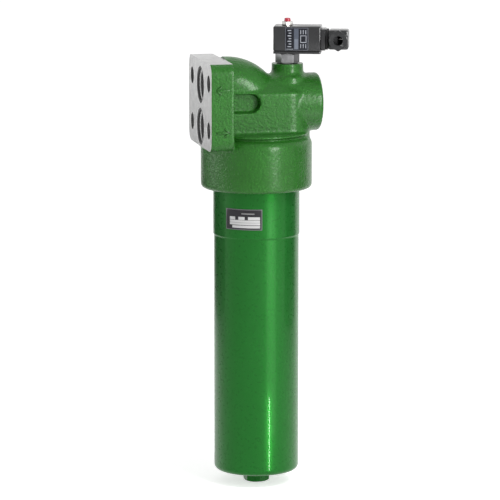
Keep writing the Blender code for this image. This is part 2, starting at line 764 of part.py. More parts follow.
def make_element():
    cap_low = element_top - element_cap
    bore = spigot_radius + slide
    seal_at = element_top - element_cap / 2
    groove = element_seal_wire + touch
    outline = [(bore, element_top), (element_radius, element_top), (element_radius, cap_low), (bore, cap_low)]
    outline += [(bore, seal_at - groove), (bore + 2 * groove, seal_at - groove)]
    outline += [(bore + 2 * groove, seal_at + groove), (bore, seal_at + groove)]
    turned("element_top_cap", outline, white_plastic, mid_sides, at=on_bowl_axis)
    ring_seal("element_seal", bore + groove, element_seal_wire, seal_at, mid_sides, at=on_bowl_axis)
    base_top = element_bottom + element_base
    base = [(0.0, base_top), (element_radius, base_top), (element_radius, element_bottom)]
    base += [(element_nub_radius, element_bottom), (element_nub_radius, element_bottom - element_nub)]
    base += [(0.0, element_bottom - element_nub)]
    turned("element_bottom_cap", base, white_plastic, mid_sides, at=on_bowl_axis)
    low = base_top + touch
    high = cap_low - touch
    tube = disc(element_core_radius, low, high, element_core_radius - element_core_wall)
    core = turned("element_core", tube, bare_steel, mid_sides, at=on_bowl_axis)
    for i in range(core_slot_rows):
        height = low + (high - low) * (i + 0.5) / core_slot_rows
        for j in range(2):
            hole = block(
                f"core_slot_{i}_{j}",
                (-2 * element_core_radius, -pleat_depth / 2, height - pleat_depth),
                (2 * element_core_radius, pleat_depth / 2, height + pleat_depth),
                None,
                at=on_bowl_axis,
                turn=(0.0, 0.0, quarter * j),
            )
            cut(core, hole)
    curve = bpy.data.curves.new("element_media", "CURVE")
    curve.dimensions = "2D"
    curve.fill_mode = "BOTH"
    curve.extrude = (high - low) / 2
    for radius in (pleat_outer, pleat_outer - pleat_sheet):
        spline = curve.splines.new("POLY")
        points = star(radius)
        spline.points.add(len(points) - 1)
        for point, place in zip(spline.points, points):
            point.co = (*place, 0.0, 1.0)
        spline.use_cyclic_u = True
    mesh = mesh_of_curve("element_media", curve)
    add("element_media", mesh, filter_cloth, at=(bowl_axis_x, 0.0, (low + high) / 2))


def make_indicator():
    place = {"at": on_indicator_axis}
    hex_low = boss_top + touch
    hex_high = hex_low + indicator_hex
    neck_top = hex_high + indicator_neck
    nose_top = piston_low
    groove_low = hex_high + touch + switch_base_thickness + touch
    groove_high = groove_low + swivel_ring_thickness + 2 * touch
    groove_radius = indicator_neck_radius - swivel_groove
    roof = piston_low + piston_length + magnet_length + piston_travel + 4 * touch
    outline = [(0.0, neck_top), (indicator_neck_radius, neck_top), (indicator_neck_radius, groove_high)]
    outline += [(groove_radius, groove_high), (groove_radius, groove_low)]
    outline += [(indicator_neck_radius, groove_low)]
    outline += [(indicator_neck_radius, hex_high - touch), (indicator_shank_radius, hex_high - touch)]
    outline += [(indicator_shank_radius, nose_top), (indicator_nose_radius, nose_top)]
    outline += [(indicator_nose_radius, indicator_nose_end), (0.0, indicator_nose_end)]
    body = turned("indicator_body", outline, bare_steel, mid_sides, **place)
    turn = (0.0, 0.0, indicator_turn)
    join(body, prism("indicator_hex", indicator_across, hex_low, hex_high, None, turn=turn, **place))
    piston_room = disc(indicator_bore, indicator_nose_end - overrun, roof)
    cut(body, turned("piston_room", piston_room, None, mid_sides, **place))
    seal_radius = indicator_shank_radius + 1.5 * indicator_seal_wire
    seal_wire = indicator_seal_wire - touch / 2
    seal_height = boss_top - indicator_seal_wire
    ring_seal("indicator_seal", seal_radius, seal_wire, seal_height, mid_sides, **place)
    piston_radius = indicator_bore - slide
    stop_low = indicator_nose_end + touch
    stop_high = stop_low + stop_ring_thickness
    stop_ring = disc(piston_radius, stop_low, stop_high, piston_radius / 2)
    turned("piston_stop_ring", stop_ring, spring_steel, small_sides, **place)
    spring_low = stop_high + touch
    spring_radius = piston_radius - 3 * piston_spring_wire
    coil(
        "piston_spring",
        spring_radius,
        piston_spring_wire,
        spring_low,
        piston_low - touch,
        piston_spring_turns,
        **place,
    )
    piston_high = piston_low + piston_length
    turned("indicator_piston", disc(piston_radius, piston_low, piston_high), brass, small_sides, **place)
    magnet_low = piston_high + touch
    magnet = disc(piston_radius, magnet_low, magnet_low + magnet_length)
    turned("piston_magnet", magnet, magnet_grey, small_sides, **place)
    ring_low = groove_low + touch
    ring = disc(swivel_ring_radius, ring_low, ring_low + swivel_ring_thickness, groove_radius + touch)
    turned("swivel_ring", ring, spring_steel, mid_sides, **place)


def make_switch(swivel):
    place = {"parent": swivel}
    base_low = boss_top + touch + indicator_hex + touch
    base_high = base_low + switch_base_thickness
    half = switch_depth / 2
    base = block(
        "switch_base", (switch_back, -half, base_low), (switch_front, half, base_high), black_plastic,
        "Z", switch_round, edge_steps, **place
    )
    bore = disc(indicator_neck_radius + slide, base_low - overrun, base_high + overrun)
    cut(base, turned("switch_base_bore", bore, None, mid_sides, **place))
    house_low = base_high + touch
    house = block(
        "switch_housing", (switch_back, -half, house_low), (switch_front, half, switch_top), black_plastic,
        "XYZ", switch_round, edge_steps, **place
    )
    room_low = (switch_back + switch_wall, -half + switch_wall, house_low - overrun)
    room_high = (switch_front - switch_wall, half - switch_wall, switch_top - switch_wall)
    bezel_hole = disc(bezel_shank_radius + touch, switch_top - 2 * switch_wall, switch_top + overrun)
    window = socket_window / 2 + touch
    window_low = (switch_front - 2 * switch_wall, -window, plug_middle - window)
    window_high = (switch_front + overrun, window, plug_middle + window)
    cut(
        house,
        block("switch_room", room_low, room_high, None, **place),
        turned("bezel_hole", bezel_hole, None, small_sides, **place),
        block("socket_window", window_low, window_high, None, **place),
    )
    plate_middle_x = (switch_back + switch_front) / 2
    plate_middle_z = (house_low + switch_top) / 2
    block(
        "name_plate",
        (
            plate_middle_x - name_plate_width / 2,
            -half - touch - name_plate_thickness,
            plate_middle_z - name_plate_height / 2,
        ),
        (plate_middle_x + name_plate_width / 2, -half - touch, plate_middle_z + name_plate_height / 2),
        label_foil,
        **place,
    )
    reed_x = swivel_ring_radius + touch
    block(
        "reed_switch",
        (reed_x, -reed_width / 2, base_high + touch),
        (reed_x + reed_length, reed_width / 2, base_high + touch + reed_height),
        grey_plastic,
        **place,
    )
    make_button(place)
    make_socket(place)


def make_button(place):
    """Bezel, red button and its spring, all on the indicator's axis."""
    bezel_low = switch_top + touch
    bezel_high = bezel_low + bezel_height
    shank_low = switch_top - bezel_shank
    bore = button_radius + slide
    bezel = prism("button_bezel", bezel_across, bezel_low, bezel_high, nickel, **place)
    shank = disc(bezel_shank_radius, shank_low, bezel_high - touch)
    join(bezel, turned("bezel_shank", shank, None, mid_sides, **place))
    through = disc(bore, shank_low - overrun, bezel_high + overrun)
    cut(bezel, turned("bezel_bore", through, None, mid_sides, **place))
    flange_high = shank_low - touch
    flange_low = flange_high - button_flange
    top = bezel_high + button_rise
    spring_low = boss_top + touch + indicator_hex + indicator_neck + touch
    stem_low = spring_low + button_travel + 2 * touch
    crown = button_radius / 4
    outline = [(0.0, top), (button_radius - crown, top), (button_radius, top - crown)]
    outline += [(button_radius, flange_high), (button_flange_radius, flange_high)]
    outline += [(button_flange_radius, flange_low), (button_stem, flange_low), (button_stem, stem_low)]
    outline += [(0.0, stem_low)]
    turned("reset_button", outline, red_plastic, small_sides, **place)
    coil(
        "button_spring",
        button_spring_radius,
        button_spring_wire,
        spring_low,
        flange_low - touch,
        button_spring_turns,
        **place,
    )


def pin_places():
    return [(0.0, pin_offset), (0.0, -pin_offset), (pin_offset, 0.0), (-pin_offset, 0.0)]


def make_socket(place):
    """The socket on the housing's end, with four flat pins that reach into the plug."""
    plate_low = switch_front + touch
    plate_high = plate_low + socket_plate
    half = plug_width / 2 + socket_lip
    tall = plug_tall / 2 + socket_lip
    inner = socket_window / 2
    socket = block(
        "connector_socket", (plate_low, -half, plug_middle - tall), (plate_high, half, plug_middle + tall),
        black_plastic, "X", cap_round, edge_steps, **place
    )
    tongue_low = (switch_front - switch_wall, -inner, plug_middle - inner)
    tongue_high = (plate_low + touch, inner, plug_middle + inner)
    tongue = block("socket_tongue", tongue_low, tongue_high, None, **place)
    core = socket_block / 2
    core_high = plate_high + socket_block_height
    core_low = (plate_high - touch, -core, plug_middle - core)
    join(socket, tongue, block("socket_core", core_low, (core_high, core, plug_middle + core), None, **place))
    for i, (y, z) in enumerate(pin_places()):
        low = (plate_high - touch, y - pin_width / 2, plug_middle + z - pin_thickness / 2)
        high = (core_high + pin_length, y + pin_width / 2, plug_middle + z + pin_thickness / 2)
        join(socket, block(f"pin_{i}", low, high, None, **place))
    bore = disc(screw_radius + slide, plate_low - touch, core_high + overrun)
    cut(socket, turned("socket_bore", bore, None, tiny_sides, at=(0, 0, plug_middle), turn=along_x, **place))


def make_plug(swivel):
    place = {"parent": swivel}
    half = plug_width / 2
    tall = plug_tall / 2
    gasket_low = switch_front + 2 * touch + socket_plate
    gasket_high = gasket_low + gasket_thickness
    gasket = block(
        "plug_gasket", (gasket_low, -half, plug_middle - tall), (gasket_high, half, plug_middle + tall),
        black_rubber, "X", cap_round, edge_steps, **place
    )
    hole = (half - gasket_frame, tall - gasket_frame)
    cut(
        gasket,
        block(
            "gasket_hole",
            (gasket_low - overrun, -hole[0], plug_middle - hole[1]),
            (gasket_high + overrun, hole[0], plug_middle + hole[1]),
            None,
            **place,
        ),
    )
    cap_low = gasket_high + touch
    cap_high = cap_low + cap_length
    cap = block(
        "plug_cap", (cap_low, -half, plug_middle - tall), (cap_high, half, plug_middle + tall), black_plastic,
        "XYZ", cap_round, edge_steps, **place
    )
    room = block(
        "cap_room",
        (cap_low - overrun, -half + cap_wall, plug_middle - tall + cap_wall),
        (cap_high - cap_end_wall, half - cap_wall, plug_middle + tall - cap_wall),
        None,
        **place,
    )
    axis = {"at": (0, 0, plug_middle), "turn": along_x, "parent": swivel}
    head_seat = cap_high - screw_head - touch
    through = [(0.0, cap_high + overrun), (screw_head_radius + touch, cap_high + overrun)]
    through += [(screw_head_radius + touch, head_seat), (screw_radius + touch, head_seat)]
    through += [(screw_radius + touch, cap_high - cap_end_wall - overrun)]
    through += [(0.0, cap_high - cap_end_wall - overrun)]
    gland_axis = {"at": (cap_low + gland_x, 0.0, plug_middle), "turn": along_minus_y, "parent": swivel}
    boss_out = half + gland_boss
    bore_floor = boss_out - gland_shank - gland_washer - gland_seal - 3 * touch
    boss_outline = disc(gland_boss_radius, bore_floor - gland_floor, boss_out)
    boss = turned("gland_boss", boss_outline, None, mid_sides, **gland_axis)
    entry = [(0.0, boss_out + overrun), (gland_bore, boss_out + overrun), (gland_bore, bore_floor)]
    entry += [(gland_hole, bore_floor), (gland_hole, bore_floor - gland_floor - overrun)]
    entry += [(0.0, bore_floor - gland_floor - overrun)]
    cut(cap, room)
    join(cap, boss)
    cut(cap, turned("screw_way", through, None, small_sides, **axis))
    cut(cap, turned("cable_entry", entry, None, mid_sides, **gland_axis))
    make_insert(cap_low, axis, place)
    grip_low = switch_front + touch + socket_plate + socket_block_height - screw_grip
    outline = [(0.0, head_seat + touch + screw_head), (screw_head_radius, head_seat + touch + screw_head)]
    outline += [(screw_head_radius, head_seat + touch), (screw_radius, head_seat + touch)]
    outline += [(screw_radius, grip_low), (0.0, grip_low)]
    turned("plug_screw", outline, bare_steel, small_sides, **axis)
    make_gland(gland_axis, boss_out, bore_floor)


def make_insert(cap_low, axis, place):
    """The terminal block inside the cap, slotted for the pins."""
    low = switch_front + 2 * touch + socket_plate + socket_block_height
    high = low + insert_length
    insert = block(
        "terminal_insert",
        (low, -insert_width / 2, plug_middle - insert_tall / 2),
        (high, insert_width / 2, plug_middle + insert_tall / 2),
        grey_plastic,
        **place,
    )
    for i, (y, z) in enumerate(pin_places()):
        wide = pin_width / 2 + slide
        thick = pin_thickness / 2 + slide
        slot_low = (low - overrun, y - wide, plug_middle + z - thick)
        slot_high = (high + overrun, y + wide, plug_middle + z + thick)
        cut(insert, block(f"pin_slot_{i}", slot_low, slot_high, None, **place))
    bore = disc(screw_radius + touch, low - overrun, high + overrun)
    cut(insert, turned("insert_bore", bore, None, tiny_sides, **axis))


def make_gland(gland_axis, boss_out, bore_floor):
    """Cable gland: seal, washer and hexagonal nut, with no cable in it."""
    outer = gland_bore - slide
    seal_high = bore_floor + touch + gland_seal
    seal = disc(outer, bore_floor + touch, seal_high, gland_hole)
    turned("gland_seal", seal, black_rubber, mid_sides, **gland_axis)
    washer_low = seal_high + touch
    washer_high = washer_low + gland_washer
    washer = disc(outer, washer_low, washer_high, gland_hole)
    turned("gland_washer", washer, bare_steel, mid_sides, **gland_axis)
    head_low = boss_out + touch
    nut = prism("gland_nut", gland_across, head_low, head_low + gland_head, black_plastic, **gland_axis)
    shank = disc(outer, washer_high + touch, head_low + touch)
    join(nut, turned("gland_shank", shank, None, mid_sides, **gland_axis))
    way = disc(gland_hole, washer_high - touch, head_low + gland_head + overrun)
    cut(nut, turned("gland_way", way, None, mid_sides, **gland_axis))


def make_swivel():
    """The empty that the switch housing turns about."""
    swivel = bpy.data.objects.new("switch_swivel", None)
    swivel.location = on_indicator_axis
    swivel.rotation_euler = (0.0, 0.0, switch_yaw)
    parts.objects.link(swivel)
    return swivel


make_head()
make_bypass()
make_bowl()
make_drain()
make_element()
make_indicator()
switch_swivel = make_swivel()
make_switch(switch_swivel)
make_plug(switch_swivel)
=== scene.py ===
"""The looks of a flange-mounted pressure filter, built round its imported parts, with a plain studio.

Metres, +Z up. The mounting face lies at x = 0 and looks along -X, and the bowl hangs on a vertical axis.
"""
import json
import math

import bmesh
import bpy
from mathutils import Matrix, Vector, noise


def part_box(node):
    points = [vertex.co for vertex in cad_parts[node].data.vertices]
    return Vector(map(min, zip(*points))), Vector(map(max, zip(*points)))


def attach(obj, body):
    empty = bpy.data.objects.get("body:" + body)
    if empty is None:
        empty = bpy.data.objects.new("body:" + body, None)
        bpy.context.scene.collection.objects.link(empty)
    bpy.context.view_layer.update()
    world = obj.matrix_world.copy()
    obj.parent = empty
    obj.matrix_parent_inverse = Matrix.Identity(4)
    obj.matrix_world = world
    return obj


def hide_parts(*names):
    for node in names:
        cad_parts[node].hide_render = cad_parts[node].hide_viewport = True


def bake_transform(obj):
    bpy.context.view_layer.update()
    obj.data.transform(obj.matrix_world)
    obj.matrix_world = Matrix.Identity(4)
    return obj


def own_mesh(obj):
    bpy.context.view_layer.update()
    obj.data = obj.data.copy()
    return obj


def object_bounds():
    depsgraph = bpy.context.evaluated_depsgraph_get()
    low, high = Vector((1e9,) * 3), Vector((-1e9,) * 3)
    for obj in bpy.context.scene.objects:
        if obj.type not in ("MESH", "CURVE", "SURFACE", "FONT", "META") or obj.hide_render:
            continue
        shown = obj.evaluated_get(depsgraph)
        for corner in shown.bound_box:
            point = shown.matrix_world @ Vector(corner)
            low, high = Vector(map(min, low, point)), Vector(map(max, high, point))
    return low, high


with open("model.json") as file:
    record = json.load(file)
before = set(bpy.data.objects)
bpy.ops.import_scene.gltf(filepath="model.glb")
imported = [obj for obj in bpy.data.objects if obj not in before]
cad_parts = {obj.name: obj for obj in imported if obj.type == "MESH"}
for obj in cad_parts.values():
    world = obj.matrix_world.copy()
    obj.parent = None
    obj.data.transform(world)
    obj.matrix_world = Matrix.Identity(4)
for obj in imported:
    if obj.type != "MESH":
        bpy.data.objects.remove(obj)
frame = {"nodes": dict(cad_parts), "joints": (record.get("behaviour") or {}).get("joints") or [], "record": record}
cad_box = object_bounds()
nodes = frame["nodes"]
mm = 0.001

# Places read from the frame
bowl_low, bowl_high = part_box("filter_bowl")
body_low, body_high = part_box("indicator_body")
plug_low, plug_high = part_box("plug_cap")
bowl_x = (bowl_low.x + bowl_high.x) / 2
indicator_x = (body_low.x + body_high.x) / 2
plug_z = (plug_low.z + plug_high.z) / 2
joint = {item["name"]: item for item in frame["joints"]}
plug_way = Vector(joint["plug_pull"]["axis"])
switch_yaw = math.atan2(plug_way.y, plug_way.x)
quarter = math.pi / 2

# Ways that a piece can be set up: each takes the piece's own Z axis to where it belongs
on_bowl = Matrix.Translation((bowl_x, 0, 0))
on_indicator = Matrix.Translation((indicator_x, 0, 0))
on_switch = on_indicator @ Matrix.Rotation(switch_yaw, 4, "Z")
facing_x = Matrix.Rotation(quarter, 4, "Y")
facing_front = Matrix.Rotation(quarter, 4, "X")

# Casting
voxel = 1.25 * mm
rounding_passes = 12
flange_thickness = 30.0 * mm
flange_width = 146.0 * mm
flange_top = 59.5 * mm
flange_bottom = -52.5 * mm
flange_corner = 15.0 * mm
flange_corner_steps = 10
machining = 2.5 * mm  # metal that machining takes off the raw flange
clear = 0.2  # reach of a mill past the casting
port_height = 27.0 * mm
port_radius = 20.0 * mm
seal_groove_radius = 23.7 * mm
seal_groove_depth = 3.4 * mm
port_chamfer = 1.5 * mm  # bright edge of a port, behind its seal
bolt_y = 52.5 * mm
bolt_heights = (33.5 * mm, -26.5 * mm)
bolt_hole_radius = 11.0 * mm
bolt_hole_depth = 25.0 * mm
edge_break = 0.5 * mm
tool_out = 5.0 * mm  # reach of a drill outside its hole
collar_radius = 72.0 * mm
collar_bottom = -108.0 * mm
collar_top = -41.5 * mm
collar_shoulder_round = 9.0 * mm
collar_foot_round = 5.0 * mm
ring_radius = 68.0 * mm
ring_top = -34.5 * mm
ring_bottom = -38.0 * mm
ring_round = 2.0 * mm
waist_radius = 63.0 * mm
neck_half_width = 39.0 * mm
neck_top = 20.0 * mm
neck_root = 4.0 * mm  # depth of the neck in the collar
neck_end = 68.0 * mm
neck_corner = 30.0 * mm
neck_wall_top = 17.0 * mm
neck_roof_inset = 10.0 * mm
neck_roof_rise = 6.0 * mm
barrel_radius = 37.5 * mm
barrel_height = 1.5 * mm
barrel_end = 81.0 * mm
barrel_edge = 1.5 * mm
elbow_radius = 35.5 * mm
elbow_bend = 40.0 * mm
bend_x = bowl_x - elbow_bend
bend_z = port_height - elbow_bend
pocket_low = -7.0 * mm
pocket_high = 17.5 * mm
pocket_end = -3.0 * mm
pocket_depth = 11.5 * mm
pocket_overrun = 10.0 * mm
boss_radius = 20.5 * mm
boss_foot_radius = 29.0 * mm
boss_foot_height = 9.0 * mm
boss_foot_root = 4.0 * mm  # depth of the boss's foot in the barrel
boss_top = 52.0 * mm
mouth_radius = 58.4 * mm
thread_bore = 56.8 * mm
mouth_depth = 7.0 * mm
room_top = -46.0 * mm
room_shoulder = -66.0 * mm
room_radius = 55.0 * mm
cover_radius = 27.8 * mm
cover_depth = 7.1 * mm
cover_shank_radius = 22.8 * mm
cover_shank_depth = 16.4 * mm
valve_radius = 20.0 * mm  # bypass valve's room, behind the cover plug
valve_depth = 47.0 * mm
valve_hole_radius = 14.0 * mm
tap_radius = 10.0 * mm  # indicator's hole in the boss
tap_seat_radius = 12.9 * mm
tap_seat_depth = 2.2 * mm
inlet_depth = 44.0 * mm
outlet_end = -50.0 * mm
grain_size = 2.8 * mm
grain_height = 0.12 * mm

# Bowl
bowl_radius = 55.0 * mm
band_radius = 56.0 * mm
band_start = -68.0 * mm
band_end = -168.6 * mm
band_round = 0.8 * mm
hold = 1.0 * mm  # spare ring beside an edge, which keeps a long wall's shading straight
bowl_bottom = -481.0 * mm
bowl_edge_round = 7.0 * mm
bowl_wall = 10.0 * mm
bowl_floor = 13.0 * mm
hex_across = 30.0 * mm
hex_turn = math.radians(4.0)
hex_root = 2.0 * mm
inner_edge_round = 8.0 * mm
drain_seat_radius = 12.9 * mm
drain_seat_top = -489.9 * mm
drain_bore_radius = 9.9 * mm
drain_bore_top = -460.0 * mm
drain_bore_bottom = -492.0 * mm
drain_countersink = 4.6 * mm

# Plates and marks
plate_width = 50.0 * mm
plate_tall = 27.0 * mm
plate_thickness = 0.6 * mm
plate_edge = 0.15 * mm
plate_radius = 56.3 * mm
plate_height = -143.0 * mm
plate_bearing = math.radians(-120.0)
label_width = 29.5 * mm
label_tall = 29.0 * mm
label_thickness = 0.6 * mm
label_middle = 13.5 * mm
label_height = 85.05 * mm
label_face = 17.8 * mm
arrow_length = 17.0 * mm
arrow_head = 8.0 * mm
arrow_bar = 2.0 * mm
arrow_rise = 1.8 * mm
arrow_spread = math.radians(38.0)
arrow_edge = 0.3 * mm

# Hexagons whose corners are turned off: flats, turned ends with the way each looks, and place
nut_slope = math.tan(math.radians(30.0))
gland_reach = 66.9 * mm
on_gland = on_switch @ Matrix.Translation((gland_reach, 0, plug_z)) @ facing_front
hexagons = {
    "indicator_body": (27.0 * mm, ((65.5 * mm, 1), (52.3 * mm, -1)), on_indicator),
    "button_bezel": (14.0 * mm, ((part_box("button_bezel")[1].z, 1),), on_indicator),
    "gland_nut": (24.0 * mm, ((22.0 * mm, 1), (16.5 * mm, -1)), on_gland),
}

# Eased copies: a piece's name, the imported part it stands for, its body and how far its edges are eased
eased_pieces = (
    ("indicator_hexagon", "indicator_body", "head", 0.25 * mm),
    ("switch_foot", "switch_base", "switch", 0.5 * mm),
    ("switch_box", "switch_housing", "switch", 0.8 * mm),
    ("bezel", "button_bezel", "switch", 0.2 * mm),
    ("button", "reset_button", "button", 0.6 * mm),
    ("socket", "connector_socket", "switch", 0.6 * mm),
    ("gasket", "plug_gasket", "plug", 0.4 * mm),
    ("cable_plug", "plug_cap", "plug", 0.6 * mm),
    ("cap_screw", "plug_screw", "plug", 0.3 * mm),
    ("gland_hexagon", "gland_nut", "gland_nut", 0.6 * mm),
    ("cover_disc", "bypass_plug", "cover_plug", 0.6 * mm),
    ("drain_screw", "drain_plug", "drain_plug", 0.5 * mm),
    ("spigot_nipple", "outlet_spigot", "head", 0.5 * mm),
    ("valve_seat", "bypass_seat", "head", 0.4 * mm),
    ("valve_poppet", "bypass_poppet", "bypass_valve", 0.3 * mm),
    ("valve_nut", "bypass_retainer", "bypass_valve", 0.3 * mm),
    ("core_tube", "element_core", "element", 0.2 * mm),
    ("top_end_cap", "element_top_cap", "element", 0.5 * mm),
    ("bottom_end_cap", "element_bottom_cap", "element", 0.5 * mm),
    ("piston_rod", "indicator_piston", "piston", 0.3 * mm),
    ("magnet_cap", "piston_magnet", "piston", 0.3 * mm),
    ("reed_block", "reed_switch", "switch", 0.5 * mm),
    ("terminal_block", "terminal_insert", "plug", 0.3 * mm),
)
own_slot = {"plug_screw": "nickel"}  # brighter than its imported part

# Springs and cloth: a spring's name, body, axis, wire radius and turns
springs = (
    ("support_spring", "bowl", 2, 1.3 * mm, 5.4),
    ("bypass_spring", "head", 0, 0.9 * mm, 6.4),
    ("piston_spring", "head", 2, 0.45 * mm, 4.4),
    ("button_spring", "switch", 2, 0.4 * mm, 7.4),
)
spring_press = {"bypass_spring": ("bypass_open", 6.0 * mm), "button_spring": ("button_press", 4.0 * mm)}
spring_pull = {"piston_spring": "piston"}  # springs baked in place rather than attached to a body; the body given is not read
spring_points = 260
spring_flat = 0.7  # turns that lie flat at each end
pleats = 72
pleat_gap = 0.6 * mm

# Studio
camera_place = (-0.890, -4.383, 0.5597)
camera_target = (0.066, 0.0017, -0.1913)
camera_lens = 252.0
sensor_width = 36.0
floor_gap = 1.0 * mm
floor_size = 30.0
floor_glow = 0.62
soft_light = 0.46
card_height = -0.08
card_feet = (((-1.234, 0.349), (-0.30, 1.30)), ((1.20, -0.41), (1.20, 0.51)))
lamp_target = (0.08, 0.0, -0.2)
# Lamps that don't show in gloss: name, place, width, height, watts and target
fill_lamps = (
    ("key", (1.04, -1.98, 0.25), 0.40, 1.5, 16.0, lamp_target),
    ("top", (0.9, -1.6, 1.9), 0.7, 0.7, 30.0, lamp_target),
)
# Lamps that show only in gloss
gloss_lamps = (
    ("sheen", (1.0, -1.9, 0.40), 0.45, 1.3, 42.0, lamp_target),
    ("left", (-1.0, 0.415, 0.02), 0.12, 0.20, 5.0, lamp_target),
    ("band", (0.227, -0.315, -0.33), 0.15, 0.33, 0.30, (bowl_x, 0.0, -0.33)),
    ("streak", (0.119, -0.1465, -0.447), 0.004, 0.10, 0.11, (bowl_x, 0.0, -0.447)),
)


def smooth(mesh, angle=32.0):
    """Shades a mesh smooth, with its edges past the angle kept sharp."""
    mesh.shade_smooth()
    mesh.set_sharp_from_angle(angle=math.radians(angle))


def piece(name, grid, *finishes):
    """Makes a bmesh an object, with its faces pointing outwards."""
    bmesh.ops.recalc_face_normals(grid, faces=grid.faces)
    mesh = bpy.data.meshes.new(name)
    grid.to_mesh(mesh)
    grid.free()
    for finish in finishes:
        mesh.materials.append(finish)
    smooth(mesh)
    obj = bpy.data.objects.new(name, mesh)
    bpy.context.scene.collection.objects.link(obj)
    return obj


def polar(radius, angle, height):
    """A place round the Z axis."""
    return Vector((radius * math.cos(angle), radius * math.sin(angle), height))


def bridge(grid, rings, closed=False):
    """Covers the gaps between rings of points. A ring can be one point, and open ends are filled."""
    pairs = list(zip(rings, rings[1:]))
    if closed:
        pairs.append((rings[-1], rings[0]))
    count = max(len(ring) for ring in rings)
    for upper, lower in pairs:
        if len(upper) == len(lower) == 1:
            continue
        for i in range(count):
            j = (i + 1) % count
            corners = [upper[i % len(upper)], lower[i % len(lower)]]
            corners += [lower[j % len(lower)], upper[j % len(upper)]]
            grid.faces.new(list(dict.fromkeys(corners)))
    for end in (rings[0], rings[-1]):
        if not closed and len(end) > 1:
            grid.faces.new(end)


def add_lathe(grid, outline, sides, place):
    """Adds a turned body from (radius, height) points that run down its outside.

    They go from axis to axis, or close as a loop, which may touch the axis in its middle.
    """
    rings = []
    for radius, height in outline:
        points = [polar(radius, 2 * math.pi * i / sides, height) for i in range(sides if radius else 1)]
        rings.append([grid.verts.new(place @ point) for point in points])
    bridge(grid, rings, outline[0][0] > 0.0)


def add_box(grid, low, high, place=None):
    """Adds a box between two corners, and returns its points."""
    low = Vector(low)
    high = Vector(high)
    made = bmesh.ops.create_cube(grid, size=1.0)["verts"]
    bmesh.ops.scale(grid, verts=made, vec=high - low)
    bmesh.ops.translate(grid, verts=made, vec=(low + high) / 2)
    if place is not None:
        bmesh.ops.transform(grid, matrix=place, verts=made)
    return made


def add_tube(grid, points, radius, sides):
    """Adds a tube along points that lie in a plane across Y."""
    rings = []
    across = Vector((0, 1, 0))
    for i, point in enumerate(points):
        before = points[max(i - 1, 0)]
        after = points[min(i + 1, len(points) - 1)]
        along = (Vector(after) - Vector(before)).normalized()
        up = along.cross(across)
        ring = []
        for j in range(sides):
            angle = 2 * math.pi * j / sides
            offset = across * math.cos(angle) + up * math.sin(angle)
            ring.append(grid.verts.new(Vector(point) + offset * radius))
        rings.append(ring)
    bridge(grid, rings)


def add_nut(grid, across, low, high, place, turn, steps=10):
    """Adds a hexagon whose lower corners are turned off to a cone, as on a nut."""
    flat = across / 2
    chamfer_radius = 0.96 * flat
    rings = [[], [], [], []]
    for side in range(6):
        for i in range(steps):
            angle = -math.pi / 6 + math.pi / 3 * i / steps
            radius = flat / math.cos(angle)
            level = [(chamfer_radius, high), (radius, high)]
            level += [(radius, low + (radius - chamfer_radius) * nut_slope), (chamfer_radius, low)]
            bearing = angle + math.pi / 3 * side + turn
            for ring, (reach, height) in zip(rings, level):
                ring.append(grid.verts.new(place @ polar(reach, bearing, height)))
    bridge(grid, rings)


def arc(centre, radius, start, end, steps):
    """Points of an arc in the (radius, height) plane, with angles in degrees from +radius."""
    points = []
    for i in range(steps + 1):
        angle = math.radians(start + (end - start) * i / steps)
        points.append((centre[0] + radius * math.cos(angle), centre[1] + radius * math.sin(angle)))
    return points


def shoulder(radius, height, size, steps):
    """Rounded upper corner of a turned body."""
    return arc((radius - size, height - size), size, 90, 0, steps)


def heel(radius, height, size, steps):
    """Rounded lower corner of a turned body."""
    return arc((radius - size, height + size), size, 0, -90, steps)


def bake(obj):
    """Turns an object's modifiers into its mesh."""
    graph = bpy.context.evaluated_depsgraph_get()
    mesh = bpy.data.meshes.new_from_object(obj.evaluated_get(graph))
    mesh.name = obj.name
    old = obj.data
    obj.modifiers.clear()
    obj.data = mesh
    bpy.data.meshes.remove(old)


def modify(obj, kind, **settings):
    """Changes a piece's mesh with a modifier."""
    modifier = obj.modifiers.new(kind.title(), kind)
    for name, value in settings.items():
        setattr(modifier, name, value)
    bake(obj)


def work(obj, operation, *tools):
    """Joins tools to an object or cuts them out of it, and removes them."""
    for tool in tools:
        modifier = obj.modifiers.new(tool.name, "BOOLEAN")
        modifier.operation = operation
        modifier.solver = "EXACT"
        modifier.object = tool
    bake(obj)
    for tool in tools:
        bpy.data.objects.remove(tool, do_unlink=True)


def fill(tree, socket, value):
    """Sets an input to a plain value, or links another node's socket to it."""
    if isinstance(value, bpy.types.NodeSocket):
        tree.links.new(value, socket)
    else:
        socket.default_value = value


def put(tree, node, **inputs):
    """Sets a node's inputs by their labels, with _ for a space."""
    for name, value in inputs.items():
        fill(tree, node.inputs[name.replace("_", " ")], value)
    return node


def add_node(tree, kind, **inputs):
    """Adds a node with its inputs set, and returns its first output."""
    return put(tree, tree.nodes.new(kind), **inputs).outputs[0]


def maths(tree, operation, *values):
    """A math node over sockets or plain numbers."""
    node = tree.nodes.new("ShaderNodeMath")
    node.operation = operation
    for socket, value in zip(node.inputs, values):
        fill(tree, socket, value)
    return node.outputs[0]


def tree_of(name, **inputs):
    """A new material, with its nodes and its shader."""
    material = bpy.data.materials.new(name)
    material.use_nodes = True
    tree = material.node_tree
    return material, tree, put(tree, tree.nodes["Principled BSDF"], **inputs)


def grain(tree, scale, detail, stretch=(1, 1, 1)):
    """Noise on the piece's own coordinates, scale in cycles per metre."""
    place = tree.nodes.new("ShaderNodeTexCoord").outputs["Object"]
    spot = add_node(tree, "ShaderNodeMapping", Vector=place, Scale=stretch)
    return add_node(tree, "ShaderNodeTexNoise", Vector=spot, Scale=scale, Detail=detail, Roughness=0.55)


